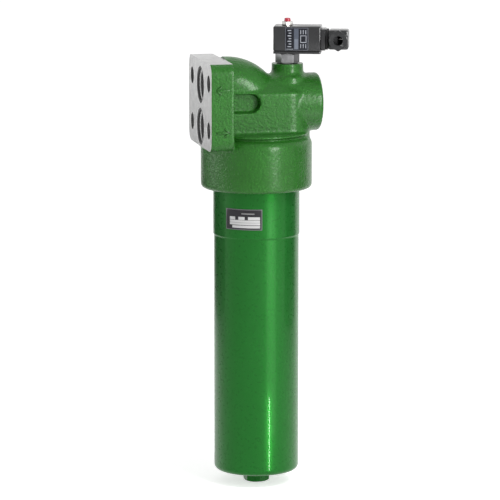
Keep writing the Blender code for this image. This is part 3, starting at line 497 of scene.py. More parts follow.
def spread(tree, value, low, high):
    """Maps a noise on to a range."""
    limits = {"From_Min": 0.3, "From_Max": 0.7, "To_Min": low, "To_Max": high}
    return add_node(tree, "ShaderNodeMapRange", Value=value, **limits)


def shades(tree, value, *stops):
    """Colours along a 0 to 1 value."""
    node = tree.nodes.new("ShaderNodeValToRGB")
    ramp = node.color_ramp
    while len(ramp.elements) < len(stops):
        ramp.elements.new(0.5)
    for element, (position, colour) in zip(ramp.elements, stops):
        element.position = position
        element.color = (*colour, 1.0)
    return put(tree, node, Fac=value).outputs["Color"]


def relief(tree, shader, *layers):
    """Stacks bumps on a shader. Each layer is a value, a strength and a height."""
    below = {}
    for value, strength, height in layers:
        bump = add_node(tree, "ShaderNodeBump", Strength=strength, Distance=height, Height=value, **below)
        below = {"Normal": bump}
    put(tree, shader, **below)


def make_finish(name, stops, drift, gloss, texture, bump=None, **inputs):
    """A finish whose colours drift with one noise, and whose roughness and relief follow another.

    drift and texture are the noises, gloss is the least and most roughness, bump a strength and a height.
    """
    material, tree, shader = tree_of(name, **inputs)
    fine = grain(tree, *texture)
    colour = shades(tree, grain(tree, *drift), *stops)
    put(tree, shader, Base_Color=colour, Roughness=spread(tree, fine, *gloss))
    if bump:
        relief(tree, shader, (fine, *bump))
    return material


def finish_machined(name, dark, light, roughness):
    """Cut metal with fine tool marks."""
    stops = ((0.3, dark), (0.7, light))
    gloss = (roughness - 0.08, roughness + 0.10)
    marks = (900.0, 2.0, (1, 0.05, 1))
    return make_finish(name, stops, (120.0, 4.0), gloss, marks, (0.12, 0.10 * mm), Metallic=1.0)


def finish_moulded(name, dark, light, roughness):
    """Moulded plastic with a fine spark-eroded texture."""
    stops = ((0.3, dark), (0.7, light))
    gloss = (roughness - 0.06, roughness + 0.08)
    return make_finish(name, stops, (40.0, 3.0), gloss, (700.0, 2.0), (0.12, 0.12 * mm))


def finish_rubber(name, dark, light):
    """Rubber with a dull bloom."""
    bloom = (160.0, 4.0)
    stops = ((0.3, dark), (0.7, light))
    return make_finish(name, stops, bloom, (0.50, 0.72), bloom, Specular_IOR_Level=0.2)


def finish_cloth():
    """Glass-fibre filter cloth, with a fine crossed weave."""
    material, tree, shader = tree_of("filter_cloth", Roughness=0.9)
    across = grain(tree, 1200.0, 1.0, (1, 1, 0.1))
    along = grain(tree, 1200.0, 1.0, (0.2, 0.2, 1))
    soil = grain(tree, 30.0, 3.0)
    put(tree, shader, Base_Color=shades(tree, soil, (0.3, (0.52, 0.49, 0.40)), (0.7, (0.68, 0.65, 0.57))))
    relief(tree, shader, (across, 0.3, 0.2 * mm), (along, 0.3, 0.2 * mm))
    return material


def inside(tree, place, box):
    """1 within a box of a label's own 0 to 1 places, otherwise 0."""
    u_low, u_high, v_low, v_high = box
    value = 1.0
    for axis, low, high in (("X", u_low, u_high), ("Y", v_low, v_high)):
        value = maths(tree, "MULTIPLY", value, maths(tree, "GREATER_THAN", place[axis], low))
        value = maths(tree, "MULTIPLY", value, maths(tree, "LESS_THAN", place[axis], high))
    return value


def finish_printed(name, ground, prints, roughness):
    """A printed plate: a ground colour with plain boxes and bars on it, and a little wear in the ink."""
    material, tree, shader = tree_of(name, Specular_IOR_Level=0.25)
    split = tree.nodes.new("ShaderNodeSeparateXYZ")
    place = put(tree, split, Vector=add_node(tree, "ShaderNodeUVMap")).outputs
    wear = grain(tree, 300.0, 3.0)
    colour = shades(tree, wear, (0.3, ground), (0.7, [1.25 * part for part in ground]))
    for box, ink in prints:
        mix = tree.nodes.new("ShaderNodeMix")
        mix.data_type = "RGBA"
        put(tree, mix, Factor=inside(tree, place, box), A=colour, B=(*ink, 1.0))
        colour = mix.outputs["Result"]
    put(tree, shader, Base_Color=colour, Roughness=spread(tree, wear, roughness - 0.05, roughness + 0.1))
    return material


# Green enamel over a sand-cast skin: grainy, so that its gloss breaks up into sparkles
cast_green = ((0.25, (0.015, 0.102, 0.009)), (0.55, (0.018, 0.118, 0.012)), (0.85, (0.022, 0.134, 0.016)))
cast_enamel = make_finish(
    "cast_enamel", cast_green, (26.0, 2.0), (0.26, 0.40), (340.0, 2.0), (1.0, 1.8 * mm),
    Specular_IOR_Level=0.5, Specular_Tint=(0.10, 0.5, 0.07, 1.0), Coat_Weight=0.42, Coat_Roughness=0.26,
)
# Green enamel sprayed on drawn steel: glossy, with a faint orange peel
smooth_green = ((0.3, (0.011, 0.106, 0.016)), (0.7, (0.014, 0.120, 0.020)))
smooth_enamel = make_finish(
    "smooth_enamel", smooth_green, (14.0, 2.0, (1, 1, 0.35)), (0.26, 0.32), (230.0, 2.0), (0.04, 0.3 * mm),
    Specular_IOR_Level=0.5, Specular_Tint=(0.08, 1.0, 0.10, 1.0), Coat_Weight=0.15, Coat_Roughness=0.045,
)
milled_iron = finish_machined("milled_iron", (0.48, 0.48, 0.48), (0.62, 0.62, 0.615), 0.42)
# Bare iron inside the bores and passages, darker than the milled iron: painted shade for the depths of the holes.
shaded_bore_iron = finish_machined("shaded_bore_iron", (0.20, 0.20, 0.20), (0.32, 0.32, 0.32), 0.40)
spring_wire = finish_machined("spring_wire", (0.26, 0.26, 0.27), (0.36, 0.36, 0.37), 0.36)
black_moulding = finish_moulded("black_moulding", (0.012, 0.0125, 0.014), (0.018, 0.0185, 0.020), 0.14)
# Mid-grey rubber for the two port seals, lighter than the nitrile of the other seals.
mid_grey_rubber = finish_rubber("mid_grey_rubber", (0.11, 0.11, 0.11), (0.16, 0.16, 0.16))
filter_cloth = finish_cloth()

slot_finish = {
    "green_paint": smooth_enamel,
    "bare_steel": finish_machined("turned_steel", (0.17, 0.17, 0.175), (0.25, 0.25, 0.255), 0.44),
    "spring_steel": spring_wire,
    "nickel": finish_machined("bright_nickel", (0.52, 0.51, 0.49), (0.62, 0.61, 0.59), 0.18),
    "brass": finish_machined("turned_brass", (0.62, 0.42, 0.16), (0.76, 0.56, 0.26), 0.28),
    "black_plastic": black_moulding,
    "grey_plastic": finish_moulded("grey_moulding", (0.13, 0.13, 0.14), (0.19, 0.19, 0.20), 0.48),
    "red_plastic": finish_moulded("red_moulding", (0.40, 0.012, 0.035), (0.52, 0.020, 0.050), 0.26),
    "black_rubber": finish_rubber("nitrile_rubber", (0.012, 0.012, 0.013), (0.024, 0.024, 0.024)),
    "white_plastic": finish_moulded("off_white_moulding", (0.62, 0.62, 0.57), (0.74, 0.74, 0.70), 0.5),
    "label_foil": black_moulding,
    "filter_cloth": filter_cloth,
    "magnet": finish_machined("dark_magnet", (0.08, 0.08, 0.09), (0.13, 0.13, 0.14), 0.45),
}
slots = {part["node"]: part["material_slot"] for part in frame["record"]["subparts"]}


def dress_nodes():
    """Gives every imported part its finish."""
    for node, slot in slots.items():
        materials = nodes[node].data.materials
        materials.clear()
        materials.append(slot_finish[slot])


def place_on(obj, body, slot, *replaced):
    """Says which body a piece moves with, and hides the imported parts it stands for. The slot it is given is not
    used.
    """
    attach(obj, body)
    if replaced:
        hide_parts(*replaced)


def elbow_line(start, end, steps):
    """Middle line of the outlet passage: in from the flange, round the bend and down."""
    points = [(start, 0.0, port_height), (bend_x, 0.0, port_height)]
    for i in range(1, steps + 1):
        angle = quarter * i / steps
        points.append((bend_x + elbow_bend * math.sin(angle), 0.0, bend_z + elbow_bend * math.cos(angle)))
    return points + [(bowl_x, 0.0, end)]


def casting_blank():
    """The raw casting: its forms in one skin, rounded where they meet and grainy all over."""
    grid = bmesh.new()
    outline = [(0.0, ring_top)]
    outline += shoulder(ring_radius, ring_top, ring_round, 4)
    outline += [(ring_radius, ring_bottom), (waist_radius, ring_bottom), (waist_radius, collar_top)]
    outline += shoulder(collar_radius, collar_top, collar_shoulder_round, 8)
    outline += heel(collar_radius, collar_bottom, collar_foot_round, 6)
    outline += [(0.0, collar_bottom)]
    add_lathe(grid, outline, 96, on_bowl)
    neck_bottom = collar_top - neck_root
    add_neck(grid, neck_bottom)
    barrel = [(0.0, barrel_end), (barrel_radius - barrel_edge, barrel_end)]
    barrel += [(barrel_radius, barrel_end - barrel_edge), (barrel_radius, 0.0), (0.0, 0.0)]
    add_lathe(grid, barrel, 80, Matrix.Translation((bowl_x, 0, barrel_height)) @ facing_x)
    add_tube(grid, elbow_line(flange_thickness / 2, neck_bottom, 16), elbow_radius, 72)
    foot_top = barrel_height + barrel_radius - boss_foot_root + boss_foot_height
    boss = [(0.0, boss_top + machining), (boss_radius, boss_top + machining), (boss_radius, foot_top)]
    boss += arc((boss_foot_radius, foot_top), boss_foot_radius - boss_radius, 180, 255, 6)[1:]
    boss += [(boss_foot_radius - mm, barrel_height), (0.0, barrel_height)]
    add_lathe(grid, boss, 64, on_indicator)
    add_flange(grid)
    blank = piece("casting", grid, cast_enamel)
    remesh(blank)
    work(blank, "DIFFERENCE", pocket(-1), pocket(1))
    remesh(blank)
    modify(blank, "SMOOTH", factor=0.5, iterations=rounding_passes)
    roughen(blank.data)
    return blank


def add_flange(grid):
    """The raw flange: a plate with rounded corners, with the metal still on it that is milled off."""
    low = (-machining, -flange_width / 2, flange_bottom)
    high = (flange_thickness, flange_width / 2, flange_top + machining / 2)
    made = add_box(grid, low, high)
    edges = dict.fromkeys(edge for vert in made for edge in vert.link_edges)
    thick = [edge for edge in edges if abs(edge.verts[0].co.x - edge.verts[1].co.x) > machining]
    bmesh.ops.bevel(
        grid, geom=thick, offset=flange_corner, segments=flange_corner_steps, profile=0.5, affect="EDGES"
    )


def add_neck(grid, bottom):
    """The block between flange and collar, square at the flange and rounded at its far end."""
    start = flange_thickness / 2
    end = bowl_x + neck_end
    corner_x = end - neck_corner
    corner_y = neck_half_width - neck_corner
    around = [(start, neck_half_width), (start, -neck_half_width)]
    around += arc((corner_x, -corner_y), neck_corner, -90, 0, 8)
    around += arc((corner_x, corner_y), neck_corner, 0, 90, 8)
    middle = (start + end) / 2
    roof = []
    for x, y in around:
        roof_x = x if x == start else x + math.copysign(neck_roof_inset, middle - x)
        roof.append((roof_x, y - math.copysign(min(neck_roof_inset, abs(y)), y)))
    levels = [[(x, y, bottom) for x, y in around], [(x, y, neck_wall_top) for x, y in around]]
    levels.append([(x, y, neck_top + neck_roof_rise) for x, y in roof])
    bridge(grid, [[grid.verts.new(point) for point in level] for level in levels])


def remesh(obj):
    """Makes a piece one even skin, whatever forms it was joined from."""
    modify(obj, "REMESH", mode="VOXEL", voxel_size=voxel)


def pocket(side):
    """The round-ended recess that lightens the neck on each side."""
    grid = bmesh.new()
    face = side * (neck_half_width + pocket_overrun)
    floor = side * (neck_half_width - pocket_depth)
    half = (pocket_high - pocket_low) / 2
    low = (flange_thickness, min(face, floor), pocket_low)
    high = (bowl_x + pocket_end - half, max(face, floor), pocket_high)
    add_box(grid, low, high)
    end_place = Matrix.Translation((high[0], 0, pocket_low + half)) @ facing_front
    add_lathe(grid, stepped(-low[1], (half, -high[1])), 48, end_place)
    joined = piece("pocket", grid)
    remesh(joined)
    return joined


def roughen(mesh):
    """Lifts and sinks a skin's points a little, as sand does to a casting."""
    normals = [vert.normal.copy() for vert in mesh.vertices]
    for vert, normal in zip(mesh.vertices, normals):
        value = noise.noise(vert.co / grain_size) + 0.5 * noise.noise(vert.co / (0.4 * grain_size))
        vert.co += normal * grain_height * value


def turned(name, outline, place, sides=64, finish=milled_iron):
    """A turned piece or cutting tool."""
    grid = bmesh.new()
    add_lathe(grid, outline, sides, place)
    return piece(name, grid, finish)


def stepped(top, *steps):
    """Outline of a stepped shaft, from its top down. Each step is a radius and the height where it ends."""
    outline = [(0.0, top)]
    for radius, end in steps:
        outline += [(radius, outline[-1][1]), (radius, end)]
    return outline + [(0.0, outline[-1][1])]


def mill(name, low, high):
    """A square cutting tool."""
    grid = bmesh.new()
    add_box(grid, low, high)
    return piece(name, grid)


def mouth(*steps):
    """Outline of a stepped hole that opens upwards at height 0, with its edge broken."""
    shaft = stepped(-edge_break, *((radius, -depth) for radius, depth in steps))
    return [(0.0, tool_out), (steps[0][0] + edge_break + tool_out, tool_out)] + shaft[1:]


def on_face(y, height):
    """Way to set a tool up that cuts into the flange's face."""
    return Matrix.Translation((0, y, height)) @ Matrix.Rotation(-quarter, 4, "Y")


def make_casting():
    """The head: the raw casting with its face milled and its ports, holes and bores cut."""
    casting = casting_blank()
    tools = [
        mill("face_mill", (-clear, -clear, -clear), (0.0, clear, clear)),
        mill("top_mill", (-clear, -clear, flange_top), (flange_thickness + edge_break, clear, clear)),
        turned("boss_mill", stepped(clear, (2 * boss_radius, boss_top)), on_indicator, 48),
    ]
    bolt_hole = mouth((bolt_hole_radius, bolt_hole_depth))
    for side in (-1, 1):
        for height in bolt_heights:
            tools.append(turned("bolt_hole", bolt_hole, on_face(side * bolt_y, height), 48))
    chamfer_end = -seal_groove_depth - port_chamfer
    groove = mouth((seal_groove_radius, seal_groove_depth))[:-1]
    groove += [(port_radius + port_chamfer, -seal_groove_depth)]
    groove += [(port_radius, chamfer_end), (0.0, chamfer_end)]
    for height in (port_height, -port_height):
        tools.append(turned("seal_groove", groove, on_face(0, height)))
    passage = bmesh.new()
    add_tube(passage, elbow_line(mm, outlet_end, 20), port_radius, 64)
    tools.append(piece("outlet_passage", passage))
    inlet = stepped(-mm, (port_radius, -inlet_depth))
    tools.append(turned("inlet_passage", inlet, on_face(0, -port_height)))
    below = collar_bottom - tool_out
    room = [(0.0, room_top), (room_radius, room_top), (thread_bore, room_shoulder)]
    room += [(thread_bore, collar_bottom + mouth_depth), (mouth_radius, collar_bottom + mouth_depth)]
    room += [(mouth_radius, collar_bottom + edge_break), (mouth_radius + tool_out, below), (0.0, below)]
    tools.append(turned("bowl_room", room, on_bowl, 96))
    cover = mouth(
        (cover_radius, cover_depth),
        (cover_shank_radius, cover_shank_depth),
        (valve_radius, valve_depth),
        (valve_hole_radius, barrel_end),
    )
    end_place = Matrix.Translation((bowl_x + barrel_end, 0, barrel_height)) @ facing_x
    tools.append(turned("cover_seat", cover, end_place))
    tap = mouth((tap_seat_radius, tap_seat_depth), (tap_radius, boss_top - barrel_height))
    tools.append(turned("indicator_tap", tap, on_indicator @ Matrix.Translation((0, 0, boss_top))))
    work(casting, "DIFFERENCE", *tools)
    close_slits(casting.data)
    casting.data.materials.clear()
    for finish in (cast_enamel, milled_iron, shaded_bore_iron):
        casting.data.materials.append(finish)
    for polygon in casting.data.polygons:
        polygon.material_index = bare_metal(polygon.center, polygon.normal)
    smooth(casting.data, 38.0)
    place_on(casting, "head", "green_paint", "filter_head")


def close_slits(mesh):
    """Welds the points that a cut leaves side by side, and fills what then stays open."""
    grid = bmesh.new()
    grid.from_mesh(mesh)
    bmesh.ops.remove_doubles(grid, verts=grid.verts, dist=0.005 * mm)
    bmesh.ops.holes_fill(grid, edges=[edge for edge in grid.edges if edge.is_boundary])
    grid.to_mesh(mesh)
    grid.free()


def from_passage(centre):
    """How far a place lies from the middle line of the outlet passage."""
    if centre.x < bend_x:
        return math.hypot(centre.y, centre.z - port_height)
    if centre.z < bend_z:
        return math.hypot(centre.x - bowl_x, centre.y)
    return math.hypot(math.hypot(centre.x - bend_x, centre.z - bend_z) - elbow_bend, centre.y)


def bare_metal(centre, normal):
    """Which finish a place on the head has: 0 paint, 1 milled metal, 2 bare iron in bores and passages, painted
    darker than the milled metal as shade in the holes.
    """
    tiny = 0.05 * mm
    if centre.x < tiny and normal.x < -0.9:
        return 1
    if centre.x < flange_thickness + mm and abs(centre.z - flange_top) < tiny and normal.z > 0.9:
        return 1
    for height in (port_height, -port_height):
        reach = math.hypot(centre.y, centre.z - height)
        if reach < seal_groove_radius + edge_break + mm and centre.x < seal_groove_depth + port_chamfer:
            return 1
        if reach < port_radius + tiny and centre.x < inlet_depth + tiny:
            return 2
    if centre.x < bolt_hole_depth + tiny:
        for side in (-1, 1):
            for height in bolt_heights:
                reach = math.hypot(centre.y - side * bolt_y, centre.z - height)
                if reach < bolt_hole_radius + edge_break + tiny:
                    return 1 if centre.x < mm else 2
    from_axis = math.hypot(centre.x - bowl_x, centre.y)
    if from_axis < mouth_radius + edge_break and collar_bottom - tiny < centre.z < room_top + tiny:
        return 1
    from_barrel = math.hypot(centre.y, centre.z - barrel_height)
    if from_barrel < cover_radius + edge_break and centre.x > bowl_x + barrel_end - cover_depth - tiny:
        return 1
    if from_barrel < cover_shank_radius + tiny and centre.x > bowl_x:
        return 2
    from_tap = math.hypot(centre.x - indicator_x, centre.y)
    if from_tap < tap_seat_radius + edge_break + tiny and centre.z > boss_top - tap_seat_depth - tiny:
        return 1
    if from_tap < tap_radius + tiny and centre.z > barrel_height:
        return 2
    return 2 if from_passage(centre) < port_radius + mm else 0


def make_bowl():
    """The bowl: neck, band, long wall, rounded bottom and spanner hexagon."""
    step = band_radius - bowl_radius
    inner = bowl_radius - bowl_wall
    outline = [(inner + mm, bowl_high.z), (bowl_radius - mm, bowl_high.z), (bowl_radius, bowl_high.z - mm)]
    outline += [(bowl_radius, band_start + step + hold), (bowl_radius, band_start + step)]
    outline += [(band_radius, band_start), (band_radius, band_start - hold)]
    outline += [(band_radius, band_end + band_round + hold)]
    outline += arc((band_radius - band_round, band_end + band_round), band_round, 0, -70, 4)
    outline += [(bowl_radius, band_end - step), (bowl_radius, band_end - step - hold)]
    outline += [(bowl_radius, bowl_bottom + bowl_edge_round + hold)]
    outline += heel(bowl_radius, bowl_bottom, bowl_edge_round, 10)
    floor = bowl_bottom + bowl_floor
    outline += [(0.4 * bowl_radius, bowl_bottom), (0.0, bowl_bottom), (0.0, floor)]
    outline += arc((inner - inner_edge_round, floor + inner_edge_round), inner_edge_round, -90, 0, 6)
    outline += [(inner, bowl_high.z - mm)]
    bowl = turned("bowl_skin", outline, on_bowl, 128, smooth_enamel)
    nut = bmesh.new()
    add_nut(nut, hex_across, bowl_low.z, bowl_bottom + hex_root, on_bowl, hex_turn)
    work(bowl, "UNION", piece("bowl_hexagon", nut, smooth_enamel))
    below = bowl_low.z - drain_countersink
    seat = stepped(drain_seat_top, (drain_seat_radius, bowl_low.z + edge_break))[:-1]
    seat += [(drain_seat_radius + edge_break + drain_countersink, below), (0.0, below)]
    shaft = stepped(drain_bore_top, (drain_bore_radius, drain_bore_bottom))
    tools = [turned("drain_seat", seat, on_bowl, 48), turned("drain_bore", shaft, on_bowl, 48)]
    work(bowl, "DIFFERENCE", *tools)
    smooth(bowl.data, 35.0)
    place_on(bowl, "bowl", "green_paint", "filter_bowl")


def make_port_rings():
    """The O-rings round the two ports."""
    for port in ("outlet", "inlet"):
        low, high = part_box(port + "_port_seal")
        middle = (low + high) / 2
        wire = (high.x - low.x) / 2
        section = arc(((high.y - low.y) / 2 - wire, 0.0), wire, 90, -255, 23)
        ring = turned(port + "_ring", section, Matrix.Translation(middle) @ facing_x, 72, mid_grey_rubber)
        place_on(ring, "head", "black_rubber", port + "_port_seal")


def ease_edges(obj, width):
    """Rounds a piece's sharp edges a little."""
    modify(obj, "BEVEL", width=width, segments=3, limit_method="ANGLE", angle_limit=math.radians(40.0))
    smooth(obj.data, 40.0)


def corner_cut(across, level, up, place):
    """A ring that turns a hexagon's corners off to a 30 degree cone at one of its ends."""
    inner = 0.97 * across / 2
    outer = 0.6 * across + mm
    drop = (outer - inner) * nut_slope
    outline = [(inner, level), (outer, level + up * mm), (outer, level - up * drop)]
    return turned("corner_cut", outline, place, 72)


def make_eased_pieces():
    """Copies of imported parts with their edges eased, and with the corners of hexagons turned off."""
    for name, node, body, width in eased_pieces:
        grid = bmesh.new()
        grid.from_mesh(nodes[node].data)
        bmesh.ops.remove_doubles(grid, verts=grid.verts, dist=0.001 * mm)
        bmesh.ops.dissolve_limit(grid, angle_limit=math.radians(1.0), verts=grid.verts, edges=grid.edges)
        slot = own_slot.get(node, slots[node])
        obj = piece(name, grid, slot_finish[slot])
        if node in hexagons:
            across, ends, place = hexagons[node]
            work(obj, "DIFFERENCE", *(corner_cut(across, level, up, place) for level, up in ends))
        ease_edges(obj, width)
        place_on(obj, body, slot, node)


def make_plate(name, spot, columns, ground, prints, roughness):
    """A thin printed plate. spot gives a place for across, up and depth, each from 0 to 1.

    Across and up are also its UV map, which the printing follows.
    """
    grid = bmesh.new()
    field = grid.loops.layers.uv.new("field")
    places = {}
    for i in range(columns + 1):
        for j in (0, 1):
            for k in (0, 1):
                places[i, j, k] = grid.verts.new(spot(i / columns, j, k))
    at = {vert: (key[0] / columns, key[1]) for key, vert in places.items()}
    corners = []
    for i in range(columns):
        corners.append([(i, 0, 1), (i + 1, 0, 1), (i + 1, 1, 1), (i, 1, 1)])
        corners.append([(i, 0, 0), (i, 1, 0), (i + 1, 1, 0), (i + 1, 0, 0)])
        for j in (0, 1):
            corners.append([(i, j, 0), (i + 1, j, 0), (i + 1, j, 1), (i, j, 1)])
    for i in (0, columns):
        corners.append([(i, 0, 0), (i, 1, 0), (i, 1, 1), (i, 0, 1)])
    for keys in corners:
        face = grid.faces.new([places[key] for key in keys])
        for loop in face.loops:
            loop[field].uv = at[loop.vert]
    obj = piece(name, grid, finish_printed(name + "_print", ground, prints, roughness))
    ease_edges(obj, plate_edge)
    return obj


def frame_bars(u_low, u_high, v_low, v_high, bar_u, bar_v):
    """The four bars of a rectangle drawn in outline."""
    return [
        (u_low, u_high, v_low, v_low + bar_v),
        (u_low, u_high, v_high - bar_v, v_high),
        (u_low, u_low + bar_u, v_low, v_high),
        (u_high - bar_u, u_high, v_low, v_high),
    ]


def make_data_plate():
    """The curved plate on the bowl: a dark ground, a thin border and a bare pale field with rules."""
    sweep = plate_width / plate_radius

    def spot(across, up, depth):
        angle = plate_bearing + (across - 0.5) * sweep
        radius = plate_radius + depth * plate_thickness
        return on_bowl @ polar(radius, angle, plate_height + (up - 0.5) * plate_tall)

    border = (0.16, 0.16, 0.17)
    white = (0.66, 0.66, 0.66)
    rule = (0.30, 0.30, 0.30)
    heading = (0.46, 0.80, 0.76, 0.81)
    cells = ((0.125, 0.285), (0.375, 0.545), (0.635, 0.94))
    rows = ((0.125, 0.94, 0.235, 0.475), (0.20, 0.94, 0.10, 0.22))
    prints = [(box, border) for box in frame_bars(0.0, 1.0, 0.0, 1.0, 0.022, 0.04)]
    prints += [(heading, rule)]
    prints += [((left, right, 0.49, 0.635), white) for left, right in cells]
    prints += [(row, white) for row in rows]
    prints += [((0.125, 0.94, level, level + 0.018), rule) for level in (0.235, 0.345)]
    plate = make_plate("plate", spot, 16, (0.020, 0.019, 0.022), prints, 0.35)
    place_on(plate, "bowl", "label_foil", "data_plate")


def make_label():
    """The label on the switch box: plain bars, ticks and boxes, with nothing to read."""

    def spot(across, up, depth):
        x = label_middle + (across - 0.5) * label_width
        height = label_height + (up - 0.5) * label_tall
        return on_switch @ Vector((x, -label_face - depth * label_thickness, height))

    edge = (0.20, 0.21, 0.25)
    pale = (0.50, 0.52, 0.58)
    column = ((0.38, 0.58, 0.04, 0.96), (0.10, 0.115, 0.15))
    column_foot = ((0.40, 0.56, 0.06, 0.50), (0.20, 0.22, 0.27))
    prints = [(box, edge) for box in frame_bars(0.0, 1.0, 0.0, 1.0, 0.018, 0.018)]
    prints += [column, column_foot]
    for row in range(7):
        low = 0.14 + 0.12 * row
        prints += [((0.10 + 0.05 * (row % 2), 0.26, low, low + 0.04), pale)]
    prints += [((0.05, 0.34, 0.04, 0.06), pale)]
    prints += [(box, pale) for box in frame_bars(0.66, 0.92, 0.34, 0.66, 0.025, 0.025)]
    for tick in range(3):
        left = 0.66 + 0.11 * tick
        prints += [((left, left + 0.03, 0.72, 0.90), pale), ((left, left + 0.03, 0.10, 0.28), pale)]
    label = make_plate("label", spot, 1, (0.006, 0.007, 0.012), prints, 0.3)
    place_on(label, "switch", "label_foil", "name_plate")


def make_flow_arrows():
    """Raised arrows on the flange's front side: out of the upper port and into the lower one."""
    grid = bmesh.new()
    middle = flange_thickness / 2
    side = -flange_width / 2
    for height, way in ((port_height, -1), (-port_height, 1)):
        base = Matrix.Translation((middle, side, height))
        tip = Matrix.Translation((way * arrow_length / 2, 0, 0))
        half = arrow_bar / 2
        add_box(grid, (-arrow_length / 2, -arrow_rise, -half), (arrow_length / 2, arrow_rise, half), base)
        for turn in (-1, 1):
            arm = base @ tip @ Matrix.Rotation(turn * arrow_spread, 4, "Y")
            end = -way * arrow_head
            add_box(grid, (min(0.0, end), -arrow_rise, -half), (max(0.0, end), arrow_rise, half), arm)
    arrows = piece("flow_arrows", grid, cast_enamel)
    ease_edges(arrows, arrow_edge)
    place_on(arrows, "head", "green_paint")


def sized_tree(name, sizes, finish):
    """A Geometry Nodes tree with a named input for each size, which ends in plain geometry in a finish."""
    tree = bpy.data.node_groups.new(name, "GeometryNodeTree")
    tree.interface.new_socket(name="Geometry", in_out="OUTPUT", socket_type="NodeSocketGeometry")
    for size in sizes:
        tree.interface.new_socket(name=size, in_out="INPUT", socket_type="NodeSocketFloat")
    given = tree.nodes.new("NodeGroupInput")
    plain = tree.nodes.new("GeometryNodeRealizeInstances")
    dressed = tree.nodes.new("GeometryNodeSetMaterial")
    dressed.inputs["Material"].default_value = finish
    out = tree.nodes.new("NodeGroupOutput")
    tree.links.new(plain.outputs["Geometry"], dressed.inputs["Geometry"])
    tree.links.new(dressed.outputs["Geometry"], out.inputs["Geometry"])
    return tree, given.outputs, plain.inputs["Geometry"]


def grown(name, tree, place, **sizes):
    """Runs a sized tree and makes its result a plain mesh at its place."""
    obj = bpy.data.objects.new(name, bpy.data.meshes.new(name))
    bpy.context.scene.collection.objects.link(obj)
    modifier = obj.modifiers.new("Grow", "NODES")
    modifier.node_group = tree
    for item in tree.interface.items_tree:
        if item.in_out == "INPUT":
            modifier[item.identifier] = float(sizes[item.name.lower()])
    bake(obj)
    obj.data.transform(place)
    smooth(obj.data)
    return obj


def spring_tree():
    """A coil with closed ends: a wire along a helix that lies flat for part of its first and last turn."""
    tree, size, end = sized_tree("coil_spring", ("Radius", "Wire", "Turns", "Height"), spring_wire)
    along = tree.nodes.new("GeometryNodeSplineParameter").outputs["Factor"]
    angle = maths(tree, "MULTIPLY", maths(tree, "MULTIPLY", along, size["Turns"]), 2 * math.pi)
    start = maths(tree, "DIVIDE", spring_flat, size["Turns"])
    stop = maths(tree, "SUBTRACT", 1.0, start)
    x = maths(tree, "MULTIPLY", maths(tree, "COSINE", angle), size["Radius"])
    y = maths(tree, "MULTIPLY", maths(tree, "SINE", angle), size["Radius"])
    limits = {"From_Min": start, "From_Max": stop, "To_Max": size["Height"]}
    z = add_node(tree, "ShaderNodeMapRange", Value=along, **limits)
    spot = add_node(tree, "ShaderNodeCombineXYZ", X=x, Y=y, Z=z)
    line = add_node(tree, "GeometryNodeCurvePrimitiveLine")
    points = add_node(tree, "GeometryNodeResampleCurve", Curve=line, Count=spring_points)
    helix = add_node(tree, "GeometryNodeSetPosition", Geometry=points, Position=spot)
    section = add_node(tree, "GeometryNodeCurvePrimitiveCircle", Resolution=12, Radius=size["Wire"])
    sweep = add_node(tree, "GeometryNodeCurveToMesh", Curve=helix, Profile_Curve=section, Fill_Caps=True)
    tree.links.new(sweep, end)
    return tree


def joined(tree, *shapes):
    """Joins shapes in one geometry."""
    node = tree.nodes.new("GeometryNodeJoinGeometry")
    for shape in shapes:
        tree.links.new(shape, node.inputs["Geometry"])
    return node.outputs["Geometry"]


def pleat_tree():
    """A pleated tube: a star round a bore, drawn out to the element's length."""
    sizes = ("Pleats", "Tip", "Valley", "Bore", "Height")
    tree, size, end = sized_tree("pleated_cloth", sizes, filter_cloth)
    folds = {"Points": size["Pleats"], "Inner_Radius": size["Valley"], "Outer_Radius": size["Tip"]}
    star = add_node(tree, "GeometryNodeCurveStar", **folds)
    bore = add_node(tree, "GeometryNodeCurvePrimitiveCircle", Resolution=96, Radius=size["Bore"])
    foot = add_node(tree, "GeometryNodeFillCurve", Curve=joined(tree, star, bore))
    height = size["Height"]
    walls = add_node(tree, "GeometryNodeExtrudeMesh", Individual=False, Mesh=foot, Offset_Scale=height)
    closed = joined(tree, walls, add_node(tree, "GeometryNodeFlipFaces", Mesh=foot))
    tree.links.new(add_node(tree, "GeometryNodeMergeByDistance", Geometry=closed, Distance=0.001 * mm), end)
    return tree


def make_springs():
    """The four springs, in place of their imported parts. Those that a joint presses get a mesh of their own, and
    the piston's spring is baked in place with no body.
    """
    tree = spring_tree()
    for name, body, axis, wire, turns in springs:
        low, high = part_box(name)
        middle = (low + high) / 2
        start, foot, end = middle.copy(), middle.copy(), middle.copy()
        start[axis], foot[axis], end[axis] = low[axis], low[axis] + wire, high[axis]
        place = Matrix.Translation(foot) @ (facing_x if axis == 0 else Matrix.Identity(4))
        radius = (high.y - low.y) / 2 - wire
        length = high[axis] - low[axis]
        sizes = {"radius": radius, "wire": wire, "turns": turns, "height": length - 2 * wire}
        coil = grown(name + "_coil", tree, place, **sizes)
        if name in spring_pull:
            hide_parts(name)
            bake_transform(coil)
            continue
        place_on(coil, body, "spring_steel", name)
        if name in spring_press:
            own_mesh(coil)


def make_pleats():
    """The filter cloth, folded round its core."""
    low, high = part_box("element_media")
    core_low, core_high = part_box("element_core")
    bore = (core_high.y - core_low.y) / 2 + pleat_gap
    place = Matrix.Translation((bowl_x, 0, low.z))
    tip = (high.y - low.y) / 2
    sizes = {"pleats": pleats, "tip": tip, "valley": bore + pleat_gap, "bore": bore, "height": high.z - low.z}
    place_on(grown("pleated_media", pleat_tree(), place, **sizes), "element", "filter_cloth", "element_media")


